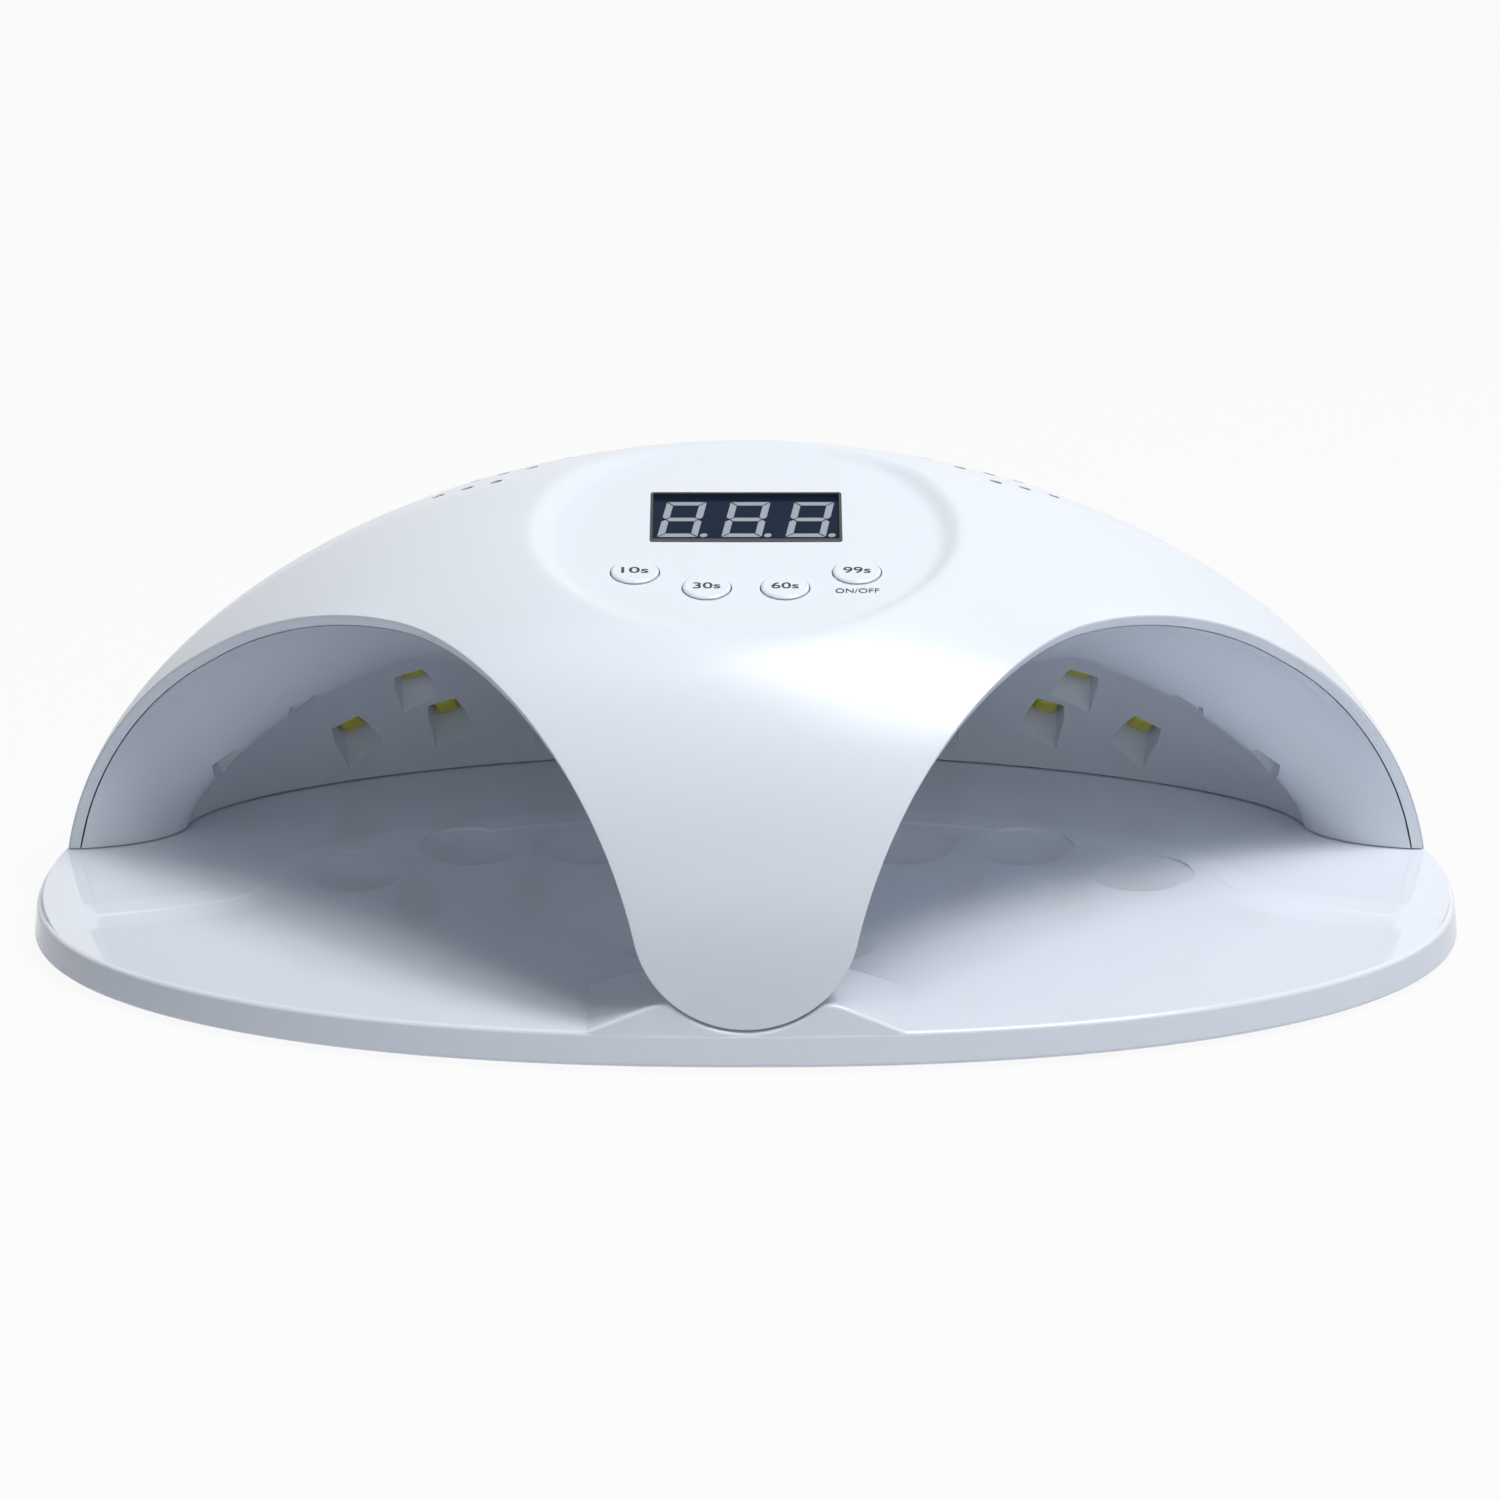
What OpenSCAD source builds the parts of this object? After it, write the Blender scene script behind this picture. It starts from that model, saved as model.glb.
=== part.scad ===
// Two-hand UV LED nail lamp: a moulded dome with two hand openings, a reflector
// lining with square-funnel pockets for the LEDs, and a loose base tray.

/* [Housing] */
// Width of the housing across its feet
housing_w = 282; // [274:1:284]
// Height of the crest above the table
crest_h = 97; // [94:0.5:102]
// Wall thickness of the moulded shell
shell_wall = 2.4; // [2:0.1:2.6]
// Wall thickness of the reflector
reflector_wall = 1.8; // [1.6:0.1:2]
// Height of each hand opening's crown above the table
opening_h = 74.9; // [73:0.1:76]

/* [Tray] */
// Width of the base tray
tray_w = 290; // [288:1:296]
// Depth of the base tray, front to back
tray_d = 180; // [178:1:184]
// Height of the tray's top above the table
tray_top = 9.2; // [9:0.1:9.4]
// How far the hand floor lies below the tray's top
floor_drop = 1.2; // [1:0.1:1.4]

/* [Control panel] */
// Slope of the flat panel floor, in degrees
panel_tilt = 12; // [11:0.5:13]
// Radius of the panel floor
panel_r = 39; // [38:0.5:40]
// Diameter of a key cap
key_d = 9.4; // [9:0.1:9.8]
// How far a key cap stands above the panel floor
key_proud = 0.5; // [0.4:0.1:0.8]
// Travel of a key
key_travel = 0.5; // [0.3:0.1:0.6]

/* [Lights] */
// Side of a square LED chip
chip_side = 5.2; // [4.6:0.1:5.6]
// Side of a pocket's mouth
pocket_mouth = 11; // [10:0.5:12]
// Depth of a pocket
pocket_depth = 6; // [5.5:0.5:6.5]

/* [Hidden] */

gap = 0.3;                       // air between the housing and the tray
sill_z = tray_top + gap;         // height of the housing's bottom edge
half_w = housing_w / 2;

// Crest: the crease between the front face and the back of the dome
crest_n = 1.95;                  // roundness of the crest seen from the front
crest_y0 = 15.5;                 // where the crest would meet the table
crest_lean = 0.1;                // forward lean of the crest per unit of height

// Front face: a full dome over the tray, of which the openings leave a post
plan_y = -7.5;                   // widest line of the tray, front to back
toe_reach = tray_d / 2 + plan_y - 0.8;
plan_n = 2.4;                    // roundness of the front face in plan
face_n = 2.6;                    // roundness of the front face in section
face_set = 25;                   // how far its centre lies behind the crest

// Back of the dome
heel_reach = 73;                 // from the crest's foot to the back
heel_n = 1.8; 
back_n = 2.35;
back_set = 18;                   // how far its centre lies before the crest

// Hand opening, as it is seen from the front
crown_x = 66.84;                 // centre of the opening's crown
outer_run = 74.2;                // from the crown out to the foot
outer_n = 1.82;
inner_run = 48.2;                // from the crown in to the post
inner_n = 2.01;
post_join = 25.7;                // height at which the post's round tip begins
foot_x = 108;                    // from here outwards the front face narrows

white = [0.93, 0.94, 0.96];
inner_white = [0.86, 0.87, 0.90];
board_green = [0.10, 0.36, 0.22];
copper_white = [0.88, 0.88, 0.85];
phosphor = [0.93, 0.83, 0.20];
steel = [0.72, 0.72, 0.74];
rubber_grey = [0.30, 0.30, 0.32];
black = [0.07, 0.07, 0.08];

// ---------- Small helpers ----------
// Superellipse quarter: 1 at the centre, 0 at the end
function arch(q, n) = pow(max(0, 1 - pow(abs(q), n)), 1 / n);
function mix(a, b, t) = a + (b - a) * t;
function unit(v) = v / max(norm(v), 1e-9);
function bez(p, q, r, s, t) =
    pow(1 - t, 3) * p + 3 * pow(1 - t, 2) * t * q + 3 * (1 - t) * t * t * r + t * t * t * s;

// ---------- The dome's outer surface ----------
function crest_z(x) = crest_h * arch(x / half_w, crest_n);
function crest_y(x) = crest_y0 - crest_lean * crest_z(x);
function toe_y(x) = plan_y - toe_reach * arch(x / (half_w + 1.6), plan_n);
function heel_y(x) = crest_y0 + heel_reach * arch(x / half_w, heel_n);

// The post's round tip runs on from the opening's inner leg, with the same lean where they meet
post_q = post_join / opening_h;
post_edge_x = crown_x - inner_run * arch(post_q, inner_n);
post_lean = inner_run / opening_h * pow(post_q, inner_n - 1) * pow(1 - pow(post_q, inner_n), 1 / inner_n - 1);
post_r = post_edge_x * sqrt(1 + post_lean * post_lean);
post_z = post_join + post_lean * post_edge_x;

// Height of the opening's edge at a distance x from the middle
function edge_z(x) = let (a = abs(x))
    a < post_edge_x ? post_z - sqrt(max(0, post_r * post_r - a * a))
    : a < crown_x ? opening_h * arch((crown_x - a) / inner_run, inner_n)
    : opening_h * arch((a - crown_x) / outer_run, outer_n);
// Towards its foot the front face narrows into the crest
function narrowing(x) = let (t = max(0, (abs(x) - foot_x) / (end_x - foot_x))) mix(1, 0.06, t * t * (3 - 2 * t));

function face_run(x) = crest_y(x) - toe_y(x) + face_set;
function face_rise(x) = crest_z(x) / arch(face_set / face_run(x), face_n);
// Point on the front face; w is 0 at the opening's edge and 1 at the crest
function face_at(x, w) =
    let (run = face_run(x), rise = face_rise(x),
         full = acos(min(1, pow(edge_z(x) / rise, face_n / 2))),
         high = asin(pow(face_set / run, face_n / 2)),
         low = mix(high, full, narrowing(x)), a = mix(low, high, w))
    [x, crest_y(x) + face_set - run * pow(sin(a), 2 / face_n), rise * pow(cos(a), 2 / face_n)];

function back_run(x) = heel_y(x) - crest_y(x) + back_set;
function back_rise(x) = (crest_z(x) - sill_z) / arch(back_set / back_run(x), back_n);
// Point on the back; w is 0 at the crest and 1 at the bottom edge
function back_at(x, w) =
    let (run = back_run(x), a = mix(asin(pow(back_set / run, back_n / 2)), 90, w))
    [x, crest_y(x) - back_set + run * pow(sin(a), 2 / back_n),
     sill_z + back_rise(x) * pow(max(0, cos(a)), 2 / back_n)];
// The whole section: w runs from 0 at the opening over 1 at the crest to 2 at the bottom
function dome_at(x, w) = w <= 1 ? face_at(x, w) : back_at(x, w - 1);

// Outward normal of one side of the crest, by small differences
function side_normal(x, w, lo, hi) =
    let (e = 0.02, w0 = max(lo, w - e), w1 = min(hi, w + e),
         along = lo < 0.5 ? face_at(x, w1) - face_at(x, w0) : back_at(x, w1 - 1) - back_at(x, w0 - 1),
         across = lo < 0.5 ? face_at(x + e, w) - face_at(x - e, w)
                           : back_at(x + e, w - 1) - back_at(x - e, w - 1))
    unit(cross(across, along));
function dome_normal(x, w) =
    w < 0.999 ? side_normal(x, w, 0, 1)
    : w > 1.001 ? side_normal(x, w, 1, 2)
    : unit(side_normal(x, 1, 0, 1) + side_normal(x, 1, 1, 2));

// Stations across the dome: close together where the opening's edge turns fast
end_x = half_w - 0.8;
outer_steps = 13;
inner_steps = 11;
post_steps = 6;
half_stations = concat(
    [for (i = [0:outer_steps - 1]) crown_x + (end_x - crown_x) * pow(cos(90 * i / outer_steps), 2 / outer_n)],
    [for (i = [0:inner_steps - 1]) mix(crown_x, post_edge_x, pow(sin(90 * i / inner_steps), 1.2))],
    [for (i = [0:post_steps - 1]) post_edge_x * cos(90 * i / post_steps)]);
stations = concat([for (x = half_stations) -x], [0],
                  [for (i = [len(half_stations) - 1:-1:0]) half_stations[i]]);

// Closed skin from rows that are closed loops with as many points each. The diagonals lean the
// other way in the second half, which keeps a mirrored shape mirrored.
module loft(rows) {
    n = len(rows[0]);
    m = len(rows);
    half = n / 2;
    sides = [for (i = [0:m - 2], k = [0:n - 1])
        let (j = (k + 1) % n, a = i * n + k, b = i * n + j, c = (i + 1) * n + j, d = (i + 1) * n + k)
        each i < (m - 1) / 2 ? [[a, b, c], [a, c, d]] : [[a, b, d], [b, c, d]]];
    first = [for (k = [0:half - 2]) each [[k, n - 1 - k, k + 1], [k + 1, n - 1 - k, n - 2 - k]]];
    last = [for (f = first) [for (k = [2:-1:0]) (m - 1) * n + f[k]]];
    polyhedron([for (r = rows) each r], concat(sides, first, last), convexity = 8);
}
// Round cable along a list of points, with a flat ring at each
module cable(path, r) {
    loft([for (i = [0:len(path) - 1])
        let (d = unit(path[min(i + 1, len(path) - 1)] - path[max(i - 1, 0)]),
             u = unit(cross(d, abs(d.z) < 0.9 ? [0, 0, 1] : [1, 0, 0])), v = cross(d, u))
        [for (a = [315:-45:0]) path[i] + r * (cos(a) * u + sin(a) * v)]]);
}
// Points of a smooth curve between two ends
function curve(p, q, r, s, steps) = [for (i = [0:steps]) bez(p, q, r, s, i / steps)];
// Rows of a skin's points between two sections, cut off flat at the bottom edge
function flat_base(p, w) = w > 1.999 ? [p.x, p.y, sill_z] : p;

// ---------- Shell ----------
face_steps = 8;
back_steps = 8;
section = concat([for (i = [0:face_steps]) i / face_steps],
                 [for (i = [1:back_steps]) 1 + i / back_steps]);
function kept_up(p) = [p.x, p.y, max(p.z, abs(p.x) < crown_x ? post_z - post_r : sill_z)];
function shell_outside(x, w) = kept_up(dome_at(x, w));
function shell_inside(x, w, depth) = kept_up(flat_base(dome_at(x, w) - depth * dome_normal(x, w), w));
module shell_skin() {
    loft([for (x = stations) concat(
        [for (w = section) shell_outside(x, w)],
        [for (i = [len(section) - 1:-1:0]) shell_inside(x, section[i], shell_wall)])]);
}
// Thick slab with the dome's outer surface, to trim the panel's floor to the dome
module dome_slab() {
    near = [for (x = stations) if (abs(x) < 62) x];
    ws = [for (w = section) if (w > 0.2 && w < 1.5) w];
    loft([for (x = near) concat(
        [for (w = ws) dome_at(x, w)],
        [for (i = [len(ws) - 1:-1:0]) dome_at(x, ws[i]) - [0, 0, 26]])]);
}

// Control panel: its own frame has its origin in the middle of the flat floor, with +Z out of it
panel_top = [0, 20, 94.6];       // where the floor runs out over the crest
floor_thick = 2.4;
dish_flare = 1.5;                // run of the dish's sloped wall per unit of rise
module on_panel() {
    translate(panel_top) rotate([panel_tilt, 0, 0]) translate([0, -panel_r, 0]) children();
}
display_v = 9;                   // height of the display's middle on the panel
window = [38.4, 19.7];
key_seats = [[-21.9, -14.2], [-7.7, -20.4], [7.7, -20.4], [21.9, -14.2]];
board_posts = [[-30, 16], [30, 16], [-31.5, -4], [31.5, -4]];
key_play = 0.3;

// Vent holes: three short rows that fan out behind the crest on each side
vent_d = 2.6;
vents = [for (row = [0:2], k = [0:2]) let (x = 50.6 + 6 * k - 7 * row)
    [x, crest_y(x) + 3.5 + 2.2 * k + 8.5 * row]];

// Posts behind the reflector, [x, y]: some take its screws, the others hold the magnets
screw_seats = [[50.3, 75.4], [93, 59.2]];
magnet_seats = [[30.2, 78.9], [113, 46.5]];
lug_z = sill_z + 2.4;            // underside of a screw lug
lug_thick = 2;
magnet_d = 7;
magnet_thick = 3;
jack_z = 31;                     // height of the power inlet's axis
jack_r = 4.5;

module both() {
    children();
    mirror([1, 0, 0]) children();
}
// Everything further in than a depth below the outer surface, down to below the bottom edge
module shell_filling(depth) {
    loft([for (x = stations) concat(
        [for (w = section) shell_inside(x, w, depth)],
        [for (i = [len(section) - 1:-1:0]) let (p = dome_at(x, section[i])) [p.x, p.y, sill_z - 5]])]);
}
module shell_posts() {
    intersection() {
        both() {
            for (p = screw_seats) translate([p.x, p.y, lug_z + lug_thick + 0.1]) cylinder(h = 36, r = 3.2, $fn = 20);
            for (p = magnet_seats) translate([p.x, p.y, sill_z + 0.2]) cylinder(h = 22, r = 4.6, $fn = 24);
        }
        shell_filling(shell_wall / 2);
    }
}
module outer_shell() {
    color(white) difference() {
        resize([0, 0, 0]) difference() {
            union() {
                shell_skin();
                shell_posts();
                intersection() {
                    on_panel() translate([0, 0, -floor_thick]) cylinder(h = floor_thick + 1, r = panel_r + 5, $fn = 72);
                    dome_slab();
                }
                on_panel() for (p = board_posts) translate([p.x, p.y, board_top]) cylinder(h = -board_top - 1, r = 2.6, $fn = 16);
            }
            on_panel() cylinder(h = 12, r1 = panel_r, r2 = panel_r + 12 * dish_flare, $fn = 96);
            on_panel() translate([-window.x / 2, display_v - window.y / 2, -floor_thick - 3])
                cube([window.x, window.y, floor_thick + 6]);
            both() for (p = vents) translate([p.x, p.y, 60]) cylinder(h = 50, d = vent_d, $fn = 12);
            both() for (p = magnet_seats) translate([p.x, p.y, sill_z - 1])
                cylinder(h = magnet_thick + 1.3, d = magnet_d + 0.1, $fn = 32);
            both() for (p = screw_seats) translate([p.x, p.y, sill_z]) cylinder(h = 14, d = 2.7, $fn = 16);
            on_panel() for (p = board_posts) translate([p.x, p.y, board_top - 1]) cylinder(h = 6, d = 2.3, $fn = 16);
        }
        on_panel() for (p = key_seats) translate([p.x, p.y, -floor_thick - 3])
            cylinder(h = floor_thick + 6, d = key_d + 2 * key_play, $fn = 48);
        translate([0, 78, jack_z]) rotate([-90, 0, 0]) cylinder(h = 16, r = jack_r + 0.1, $fn = 48);
    }
}

// ---------- Reflector ----------
seam_gap = 0.4;                  // between the shell's inside and the reflector's front edge
ridge_y = 26.5;                  // the lip between the flared mouths and the lamp chamber
ridge_h = 37;
turn_x = 66;                     // beyond this the chamber is narrower than the shell
ridge_w = 116.6;                 // half width of the chamber
wall_reach = 48.5;               // depth of the chamber behind the lip
function inner_x(x) = let (a = abs(x))
    sign(x) * (a < turn_x ? a : turn_x + (a - turn_x) * (ridge_w - turn_x) / (end_x - turn_x));
function station_of(u) = let (a = abs(u))
    sign(u) * (a < turn_x ? a : turn_x + (a - turn_x) * (end_x - turn_x) / (ridge_w - turn_x));
function seam_at(x) = dome_at(x, 0) - (shell_wall + seam_gap) * dome_normal(x, 0);
function ridge_at(x) = let (u = inner_x(x), a = abs(u))
    [u, ridge_y, sill_z + (a > turn_x ? ridge_h * arch((a - turn_x) / (ridge_w - turn_x), 1.42)
                                      : ridge_h - 14 * pow(1 - a / turn_x, 1.6))];
function wall_foot(x) = let (u = inner_x(x))
    [u, ridge_y + wall_reach * arch(min(abs(u) / ridge_w, 0.998), 1.75), sill_z];
// Flared mouth (v from 0 to 1) and chamber wall (v from 1 to 2)
function mouth_at(x, v) =
    let (g = seam_at(x), r = ridge_at(x), c = max(0, 1 - pow(x / 45, 2)),
         e = pow(max(0, (abs(x) - turn_x) / (end_x - turn_x)), 4),
         p1 = g + c * [0, 6, 50] + (1 - c) * [0, 20, -2], p2 = r + mix([0, -10, 5], [0, -55, 6], c))
    bez(g, mix(p1, g + [-13 * sign(x), 2, 0], e), mix(p2, r + [2 * sign(x), -5, 0], e), r, v);
function wall_at(x, v) =
    let (r = ridge_at(x), k = wall_foot(x), rise = r.z - sill_z)
    bez(r, r + [0, 0.35 * (k.y - ridge_y), 3 * rise / ridge_h], k + [0, -2, 0.55 * rise], k, v);
function lining_at(x, v) = v <= 1 ? mouth_at(x, v) : wall_at(x, v - 1);
function lining_normal(x, v) =
    let (e = 0.02, v0 = v < 1 ? max(0, v - e) : max(1, v - e), v1 = v < 1 ? min(1, v + e) : min(2, v + e),
         x0 = max(-end_x, x - e), x1 = min(end_x, x + e))
    unit(cross(lining_at(x1, v) - lining_at(x0, v), lining_at(x, v1) - lining_at(x, v0)));
mouth_steps = 7;
wall_steps = 6;
lining_section = concat([for (i = [0:mouth_steps]) i / mouth_steps], [for (i = [1:wall_steps]) 1 + i / wall_steps]);
// The hidden side: the wall's thickness further out, but nowhere below the bottom edge
function lining_back(x, v, t) =
    let (p = lining_at(x, v), q = v < 0.01 ? dome_at(x, 0.035) - (shell_wall + seam_gap) * dome_normal(x, 0.035)
                                           : p + t * lining_normal(x, v))
    v > 1.999 || abs(x) > end_x - 0.01 ? [q.x, q.y, sill_z] : [q.x, q.y, max(q.z, sill_z)];
module lining_skin(t) {
    loft([for (x = stations) concat(
        [for (v = lining_section) lining_back(x, v, t)],
        [for (i = [len(lining_section) - 1:-1:0]) let (v = lining_section[i], p = lining_at(x, v))
            v > 1.999 || abs(x) > end_x - 0.01 ? [p.x, p.y, sill_z] : [p.x, p.y, max(p.z, sill_z)]])]);
}
// LED pockets, [distance from the middle, place on the wall]: one row breaks through the lip
pockets = concat([for (u = [22, 46, 70, 91, 107]) [u, 1.1]], [for (u = [22, 46, 69.5]) [u, 1.63]],
                 [for (u = [20, 41.5, 63, 82.3]) [u, 1.815]]);
pocket_tilt = 0.55;              // how far the LEDs lean from the wall towards the table
chip_hole = 7;                   // side of the square hole at a pocket's bottom
function pocket_axis(x, v) = unit(lining_normal(x, v) + [0, 0, pocket_tilt]);
// Children in a pocket's own frame: +Z points out of the chamber, from the middle of the mouth
module at_pocket(p) {
    x = station_of(p[0]);
    c = lining_at(x, p[1]);
    n = pocket_axis(x, p[1]);
    s = unit(cross([0, 1, 0], n));
    t = cross(n, s);
    multmatrix([[s.x, t.x, n.x, c.x], [s.y, t.y, n.y, c.y], [s.z, t.z, n.z, c.z], [0, 0, 0, 1]]) children();
}
module funnel(grow, low, high) {
    wide = pocket_mouth / 2 + grow;
    narrow = chip_hole / 2 + grow;
    slope = (narrow - wide) / pocket_depth;
    a = wide + slope * low;
    b = wide + slope * high;
    polyhedron(concat([for (c = [[-a, -a], [a, -a], [a, a], [-a, a]]) [c.x, c.y, low]],
                      [for (c = [[-b, -b], [b, -b], [b, b], [-b, b]]) [c.x, c.y, high]]),
               [[0, 1, 2, 3], [7, 6, 5, 4], [0, 4, 5, 1], [1, 5, 6, 2], [2, 6, 7, 3], [3, 7, 4, 0]]);
}
module lining_lugs() {
    both() for (p = screw_seats) translate([p.x, p.y, lug_z]) {
        cylinder(h = lug_thick, r = 4, $fn = 24);
        translate([-4, -9, 0]) cube([8, 9, lug_thick]);
    }
}
module inner_reflector() {
    color(inner_white) difference() {
        resize([0, 0, 0]) difference() {
            intersection() {
                union() {
                    lining_skin(reflector_wall);
                    difference() {
                        union() {
                            both() for (p = pockets) at_pocket(p) funnel(1.4, 0.3, pocket_depth);
                            lining_lugs();
                        }
                        chamber_space();
                        translate([-150, -100, sill_z - 20]) cube([300, 220, 20.2]);
                    }
                }
                shell_filling(shell_wall + 0.36);
            }
            both() for (p = pockets) at_pocket(p) funnel(0, -8, pocket_depth + 0.5);
        }
        both() for (p = screw_seats) translate([p.x, p.y, lug_z - 1]) cylinder(h = lug_thick + 2, d = 3.2, $fn = 24);
    }
}
// Space on the hand's side of the lining
module chamber_space() {
    loft([for (x = stations) concat(
        [for (v = lining_section) let (p = lining_at(x, v)) p + 0.4 * lining_normal(x, v)],
        [for (i = [len(lining_section) - 1:-1:0]) let (p = lining_at(x, lining_section[i])) [p.x, p.y, sill_z - 30]])]);
}

// ---------- LEDs ----------
led_board = 9; 
led_board_thick = 1.2;
chip_thick = 0.9;
module led_boards(side) {
    color(board_green) for (p = pockets) at_pocket([side * p[0], p[1]])
        translate([-led_board / 2, -led_board / 2, pocket_depth])
            cube([led_board, led_board, led_board_thick]);
}
module led_chips(side) {
    color(phosphor) for (p = pockets) at_pocket([side * p[0], p[1]])
        translate([-chip_side / 2, -chip_side / 2, pocket_depth - chip_thick])
            cube([chip_side, chip_side, chip_thick]);
}
module led_boards_left() led_boards(-1);
module led_boards_right() led_boards(1);
module led_chips_left() led_chips(-1);
module led_chips_right() led_chips(1);

// ---------- Tray ----------
floor_z = tray_top - floor_drop;
tray_base = 1;                   // height of its underside: the feet stand this far proud
tray_skin = 2.2;
tray_n = 2.2;
function plan_point(a, off) =
    let (c = cos(a), s = sin(a), reach = (s < 0 ? tray_d / 2 + plan_y : tray_d / 2 - plan_y) + off)
    [(tray_w / 2 + off) * sign(c) * pow(abs(c), 2 / tray_n),
     plan_y + reach * sign(s) * pow(abs(s), 2 / tray_n)];
module tray_block(levels) {
    loft([for (l = levels) [for (i = [0:71]) let (p = plan_point(-5 * i, l[1])) [p.x, p.y, l[0]]]]);
}
// Where the hand rests the tray is lower: in front of the feet and on an oval between them
module hand_floor() {
    translate([0, 0, floor_z]) linear_extrude(20) {
        polygon([[-160, -120], [160, -120], [160, -33], [140, -27.4], [122, -22], [109, -17.2], [102.5, -14],
                 [99, -8], [-99, -8], [-102.5, -14], [-109, -17.2], [-122, -22], [-140, -27.4], [-160, -33]]);
        translate([0, -15.2]) polygon([for (a = [0:5:180]) [100 * cos(a), 50 * sin(a)]]);
    }
}
dimple_depth = 0.8;
dimple_r = 10;
dimples = [[80.8, 1.2], [57.1, 17.1], [32.5, 17.4], [11, 8], [16.2, -39.5]];
mound_top = 13.8;
module finger_mound() {
    difference() {
        hull() {
            translate([-31, tray_front - 2, floor_z - 1]) cube([62, 31.5, 1]);
            translate([-17.5, tray_front - 2, mound_top - 1]) cube([35, 26.5, 1]);
        }
        translate([0, -120, post_z]) rotate([-90, 0, 0]) cylinder(h = 80, r = post_r + 0.4, $fn = 72);
    }
}
tray_front = -tray_d / 2;
feet = [[-112, -35], [-112, 35], [0, -72], [0, 74], [112, -35], [112, 35]];
foot_r = 6;
foot_sink = 1.2;
disc_d = 10;
disc_thick = 1.2;
module base_tray() {
    color(white) resize([0, 0, 0]) difference() {
            union() {
                difference() {
                    tray_block([[tray_base, -1.4], [tray_base + 1, 0], [floor_z - 1, -0.6],
                                [floor_z - 0.3, -0.95], [floor_z, -1.6], [tray_top - 0.3, -1.8], [tray_top, -2.1]]);
                    hand_floor();
                }
                intersection() {
                    finger_mound();
                    tray_block([[floor_z - 2, -0.5], [mound_top + 1, -1.6]]);
                }
            }
            both() for (d = dimples) translate([d.x, d.y, floor_z - dimple_depth]) {
                r = (dimple_r * dimple_r + dimple_depth * dimple_depth) / (2 * dimple_depth);
                rotate_extrude($fn = 30) polygon(concat([[0, 3], [0, 0]],
                    [for (i = [1:4]) let (a = asin(dimple_r / r) * i / 3.5) [r * sin(a), r - r * cos(a)]], [[12, 3]]));
            }
            difference() {
                tray_block([[tray_base - 1, -3.8], [floor_z - tray_skin, -4]]);
                for (p = feet) translate([p.x, p.y, 0]) cylinder(h = 9, r = foot_r + 2, $fn = 32);
                for (x = [-96:32:96]) translate([x - 0.8, -95, tray_base + 0.4]) cube([1.6, 190, 9]);
                for (y = [-56, -18, 20, 58]) translate([-150, y - 0.8, tray_base + 0.4]) cube([300, 1.6, 9]);
            }
            for (p = feet) translate([p.x, p.y, tray_base - 1]) cylinder(h = 1 + foot_sink, r = foot_r + 0.05, $fn = 48);
            both() for (p = magnet_seats) translate([p.x, p.y, tray_top - disc_thick])
                cylinder(h = disc_thick + 1, r = disc_d / 2 + 0.05, $fn = 48);
    }
}
module rubber_feet() {
    color(rubber_grey) for (p = feet) translate([p.x, p.y, 0]) {
        cylinder(h = tray_base + foot_sink, r = foot_r, $fn = 48);
    }
}
module tray_discs() {
    color(steel) both() for (p = magnet_seats) translate([p.x, p.y, tray_top - disc_thick])
        cylinder(h = disc_thick, d = disc_d, $fn = 48);
}

// ---------- Fixings in the housing ----------
module housing_magnets() {
    color(steel) both() for (p = magnet_seats) translate([p.x, p.y, sill_z + 0.3])
        cylinder(h = magnet_thick, d = magnet_d, $fn = 32);
}
module screw(head_d, head_h, d, l) {
    difference() {
        cylinder(h = head_h, d = head_d, $fn = 24);
        for (a = [0, 90]) rotate(a) translate([-head_d * 0.3, -0.4, -1]) cube([head_d * 0.6, 0.8, 1 + head_h * 0.6]);
    }
    translate([0, 0, head_h]) cylinder(h = l, d = d, $fn = 24);
}
module reflector_screws() {
    color(steel) both() for (p = screw_seats) translate([p.x, p.y, lug_z - 1.8]) screw(5.6, 1.8, 2.6, 9);
}

// ---------- Control panel's parts, heights measured from the panel's floor ----------
board_top = -10;
board_thick = 1.6;
board_size = [70, 46];
board_v = -4;
display_size = [37.6, 19, 9];
display_face = board_top + display_size.z;
module control_board() {
    color(board_green) on_panel() difference() {
        translate([-board_size.x / 2, board_v - board_size.y / 2, board_top - board_thick])
            cube([board_size.x, board_size.y, board_thick]);
        for (p = board_posts) translate([p.x, p.y, board_top - 3]) cylinder(h = 4, d = 2.8, $fn = 24);
    }
}
module board_screws() {
    color(steel) on_panel() for (p = board_posts)
        translate([p.x, p.y, board_top - board_thick - 1.6]) screw(5, 1.6, 2.2, 6);
}
module board_components() {
    under = board_top - board_thick;
    on_panel() {
        color(black) translate([-22, 0, under - 1.8]) cube([9, 7, 1.8]);
        color(black) translate([8, -2, under - 2.3]) cube([10, 9, 2.3]);
        color(black) for (x = [-8, -1]) translate([x, 8, under - 4.5]) cube([5, 4, 4.5]);
        color(steel) translate([21, 10, under - 9]) cylinder(h = 9, d = 7, $fn = 32);
        color(white) for (x = [-30, -14, 18]) translate([x, -18, under - 6]) cube([8, 5, 6]);
    }
}
module display_module() {
    color(black) on_panel() translate([-display_size.x / 2, display_v - display_size.y / 2, board_top])
        cube(display_size);
}
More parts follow.
